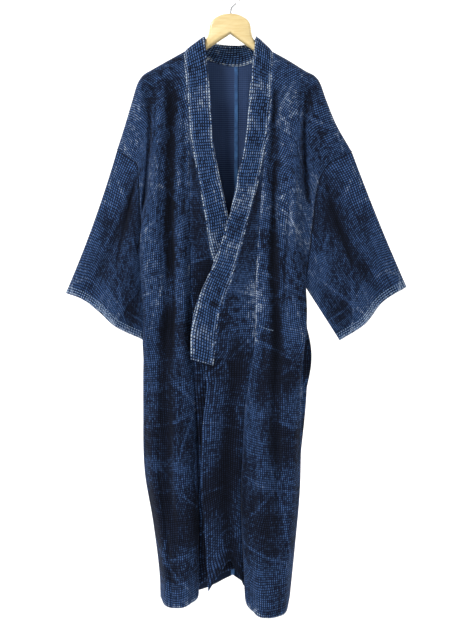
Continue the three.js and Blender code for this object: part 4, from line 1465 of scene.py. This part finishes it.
sleeve_right_stitches = sleeve_stitches(sleeve_right_grid, "right", -1)
sleeve_left_stitches = sleeve_stitches(sleeve_left_grid, "left", 1)

hem_columns = 1 + SHARE * (BODY_COLUMNS - 3)


def body_stitches(grid, side, facing):
    last = grid.shape[0] - 1
    sewing = (HEM_DEPTH - SEWING_FROM_FOLD) * MM
    front = rows_from_edge(grid[::-1], sewing, BODY_COLUMNS // 2)
    back = rows_from_edge(grid, sewing, BODY_COLUMNS // 2)
    rows = [(grid, last - front, hem_columns, facing), (grid, back, hem_columns, facing)]
    return stitches(side + "_hem_stitches", rows, dark_thread)


body_right_stitches = body_stitches(right_grid, "right", -1)
body_left_stitches = body_stitches(left_grid, "left", 1)

MEND_START, MEND_END = (60, -775), (102, -790)
MEND_POINTS = 30


def nearest(grid, x, z):
    """Row and column of the front's grid point that lies nearest to a place in millimetres."""
    front = grid[:grid.shape[0] // 2]
    gap = np.hypot(front[..., 0] - x * MM, front[..., 2] - z * MM)
    return np.unravel_index(np.argmin(gap), gap.shape)


mend = np.linspace(nearest(left_grid, *MEND_START), nearest(left_grid, *MEND_END), MEND_POINTS)
mend_stitches = stitches("left_mend_stitches", [(left_grid, *mend.T, 1)], pale_thread)

collar_rows = 1 + SHARE * (collar_grid.shape[0] - 3)
collar_column = (COLLAR_SEWING + COLLAR_LAP) / (1 + COLLAR_LAP) * (COLLAR_COLUMNS - 1)
collar_sewing = (collar_grid, collar_rows, collar_column, 1)
collar_stitches = stitches("neck_band_stitches", [collar_sewing], faded_thread)

# %% [markdown]
# The hanger's board already has its shape in the solids. A copy of that solid, with its loose
# corners merged, can be smoothed, so that its rounded edges catch a clean line of light.

# %% Hanger
SMOOTH_ANGLE = math.radians(40)
WELD = 0.01 * MM


def smooth_copy(node, name):
    source = bpy.data.objects[node]
    mesh = source.data.copy()
    mesh.name = name
    mesh.materials.clear()
    piece = add_piece(name, mesh)
    bpy.ops.object.mode_set(mode="EDIT")
    bpy.ops.mesh.select_all(action="SELECT")
    bpy.ops.mesh.remove_doubles(threshold=WELD)
    bpy.ops.object.mode_set(mode="OBJECT")
    bpy.ops.object.shade_smooth_by_angle(angle=SMOOTH_ANGLE)
    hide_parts(node)
    print(name, len(piece.data.polygons), "faces")
    return piece


hanger = smooth_copy("hanger_wood", "hanger_board")
hook = smooth_copy("hanger_hook", "hanger_wire")

# %% Wood and wire
# Grain is 38 mm long and 4 mm across, pores are 8 mm and 1 mm, and rubbed spots 2.5 mm
GRAIN_PER_METRE = 26.0
PORES_PER_METRE = 130.0
RUBS_PER_METRE = 400.0
GRAIN_STRETCH = (1.0, 9.0, 9.0)
GRAIN_LIMITS = (0.3, 0.75)
PORE_LIMITS = (0.55, 0.85, 0.0, 0.3)
STEEL_ROUGHNESS = (0.18, 0.3)

# Varnished pale wood: long soft grain along the board, finer pores, and a clear coat that shines
material, tree = new_material("varnished pale wood")
place = add_node(tree, "TexCoord", output="Object")
place = add_node(tree, "Mapping", {"Vector": place, "Scale": GRAIN_STRETCH})
grain = blotches(tree, place, GRAIN_PER_METRE, 4.0, *GRAIN_LIMITS)
pores = blotches(tree, place, PORES_PER_METRE, 2.0, *PORE_LIMITS)
wood = coats(tree, "#f0d9a0", (grain, None, "#e6ca8c"), (pores, None, "#d6b374"))
surface(tree, {"Base Color": wood, "Roughness": 0.42, "Coat Weight": 0.2})
hanger.data.materials.append(material)

# Bright plated steel: a mirror to the eye, dulled a little where it has rubbed on rails
material, tree = new_material("bright plated steel wire")
place = add_node(tree, "TexCoord", output="Object")
rub = blotches(tree, place, RUBS_PER_METRE, 2.0, *SOFT_LIMITS, *STEEL_ROUGHNESS)
surface(tree, {"Base Color": "#d9dadb", "Metallic": 1.0, "Roughness": rub})
hook.data.materials.append(material)
print("hanger finishes", hanger.data.materials[0].name, "and", hook.data.materials[0].name)

# %% [markdown]
# Every piece of the garment is now made.

# %% End
print("garment made")
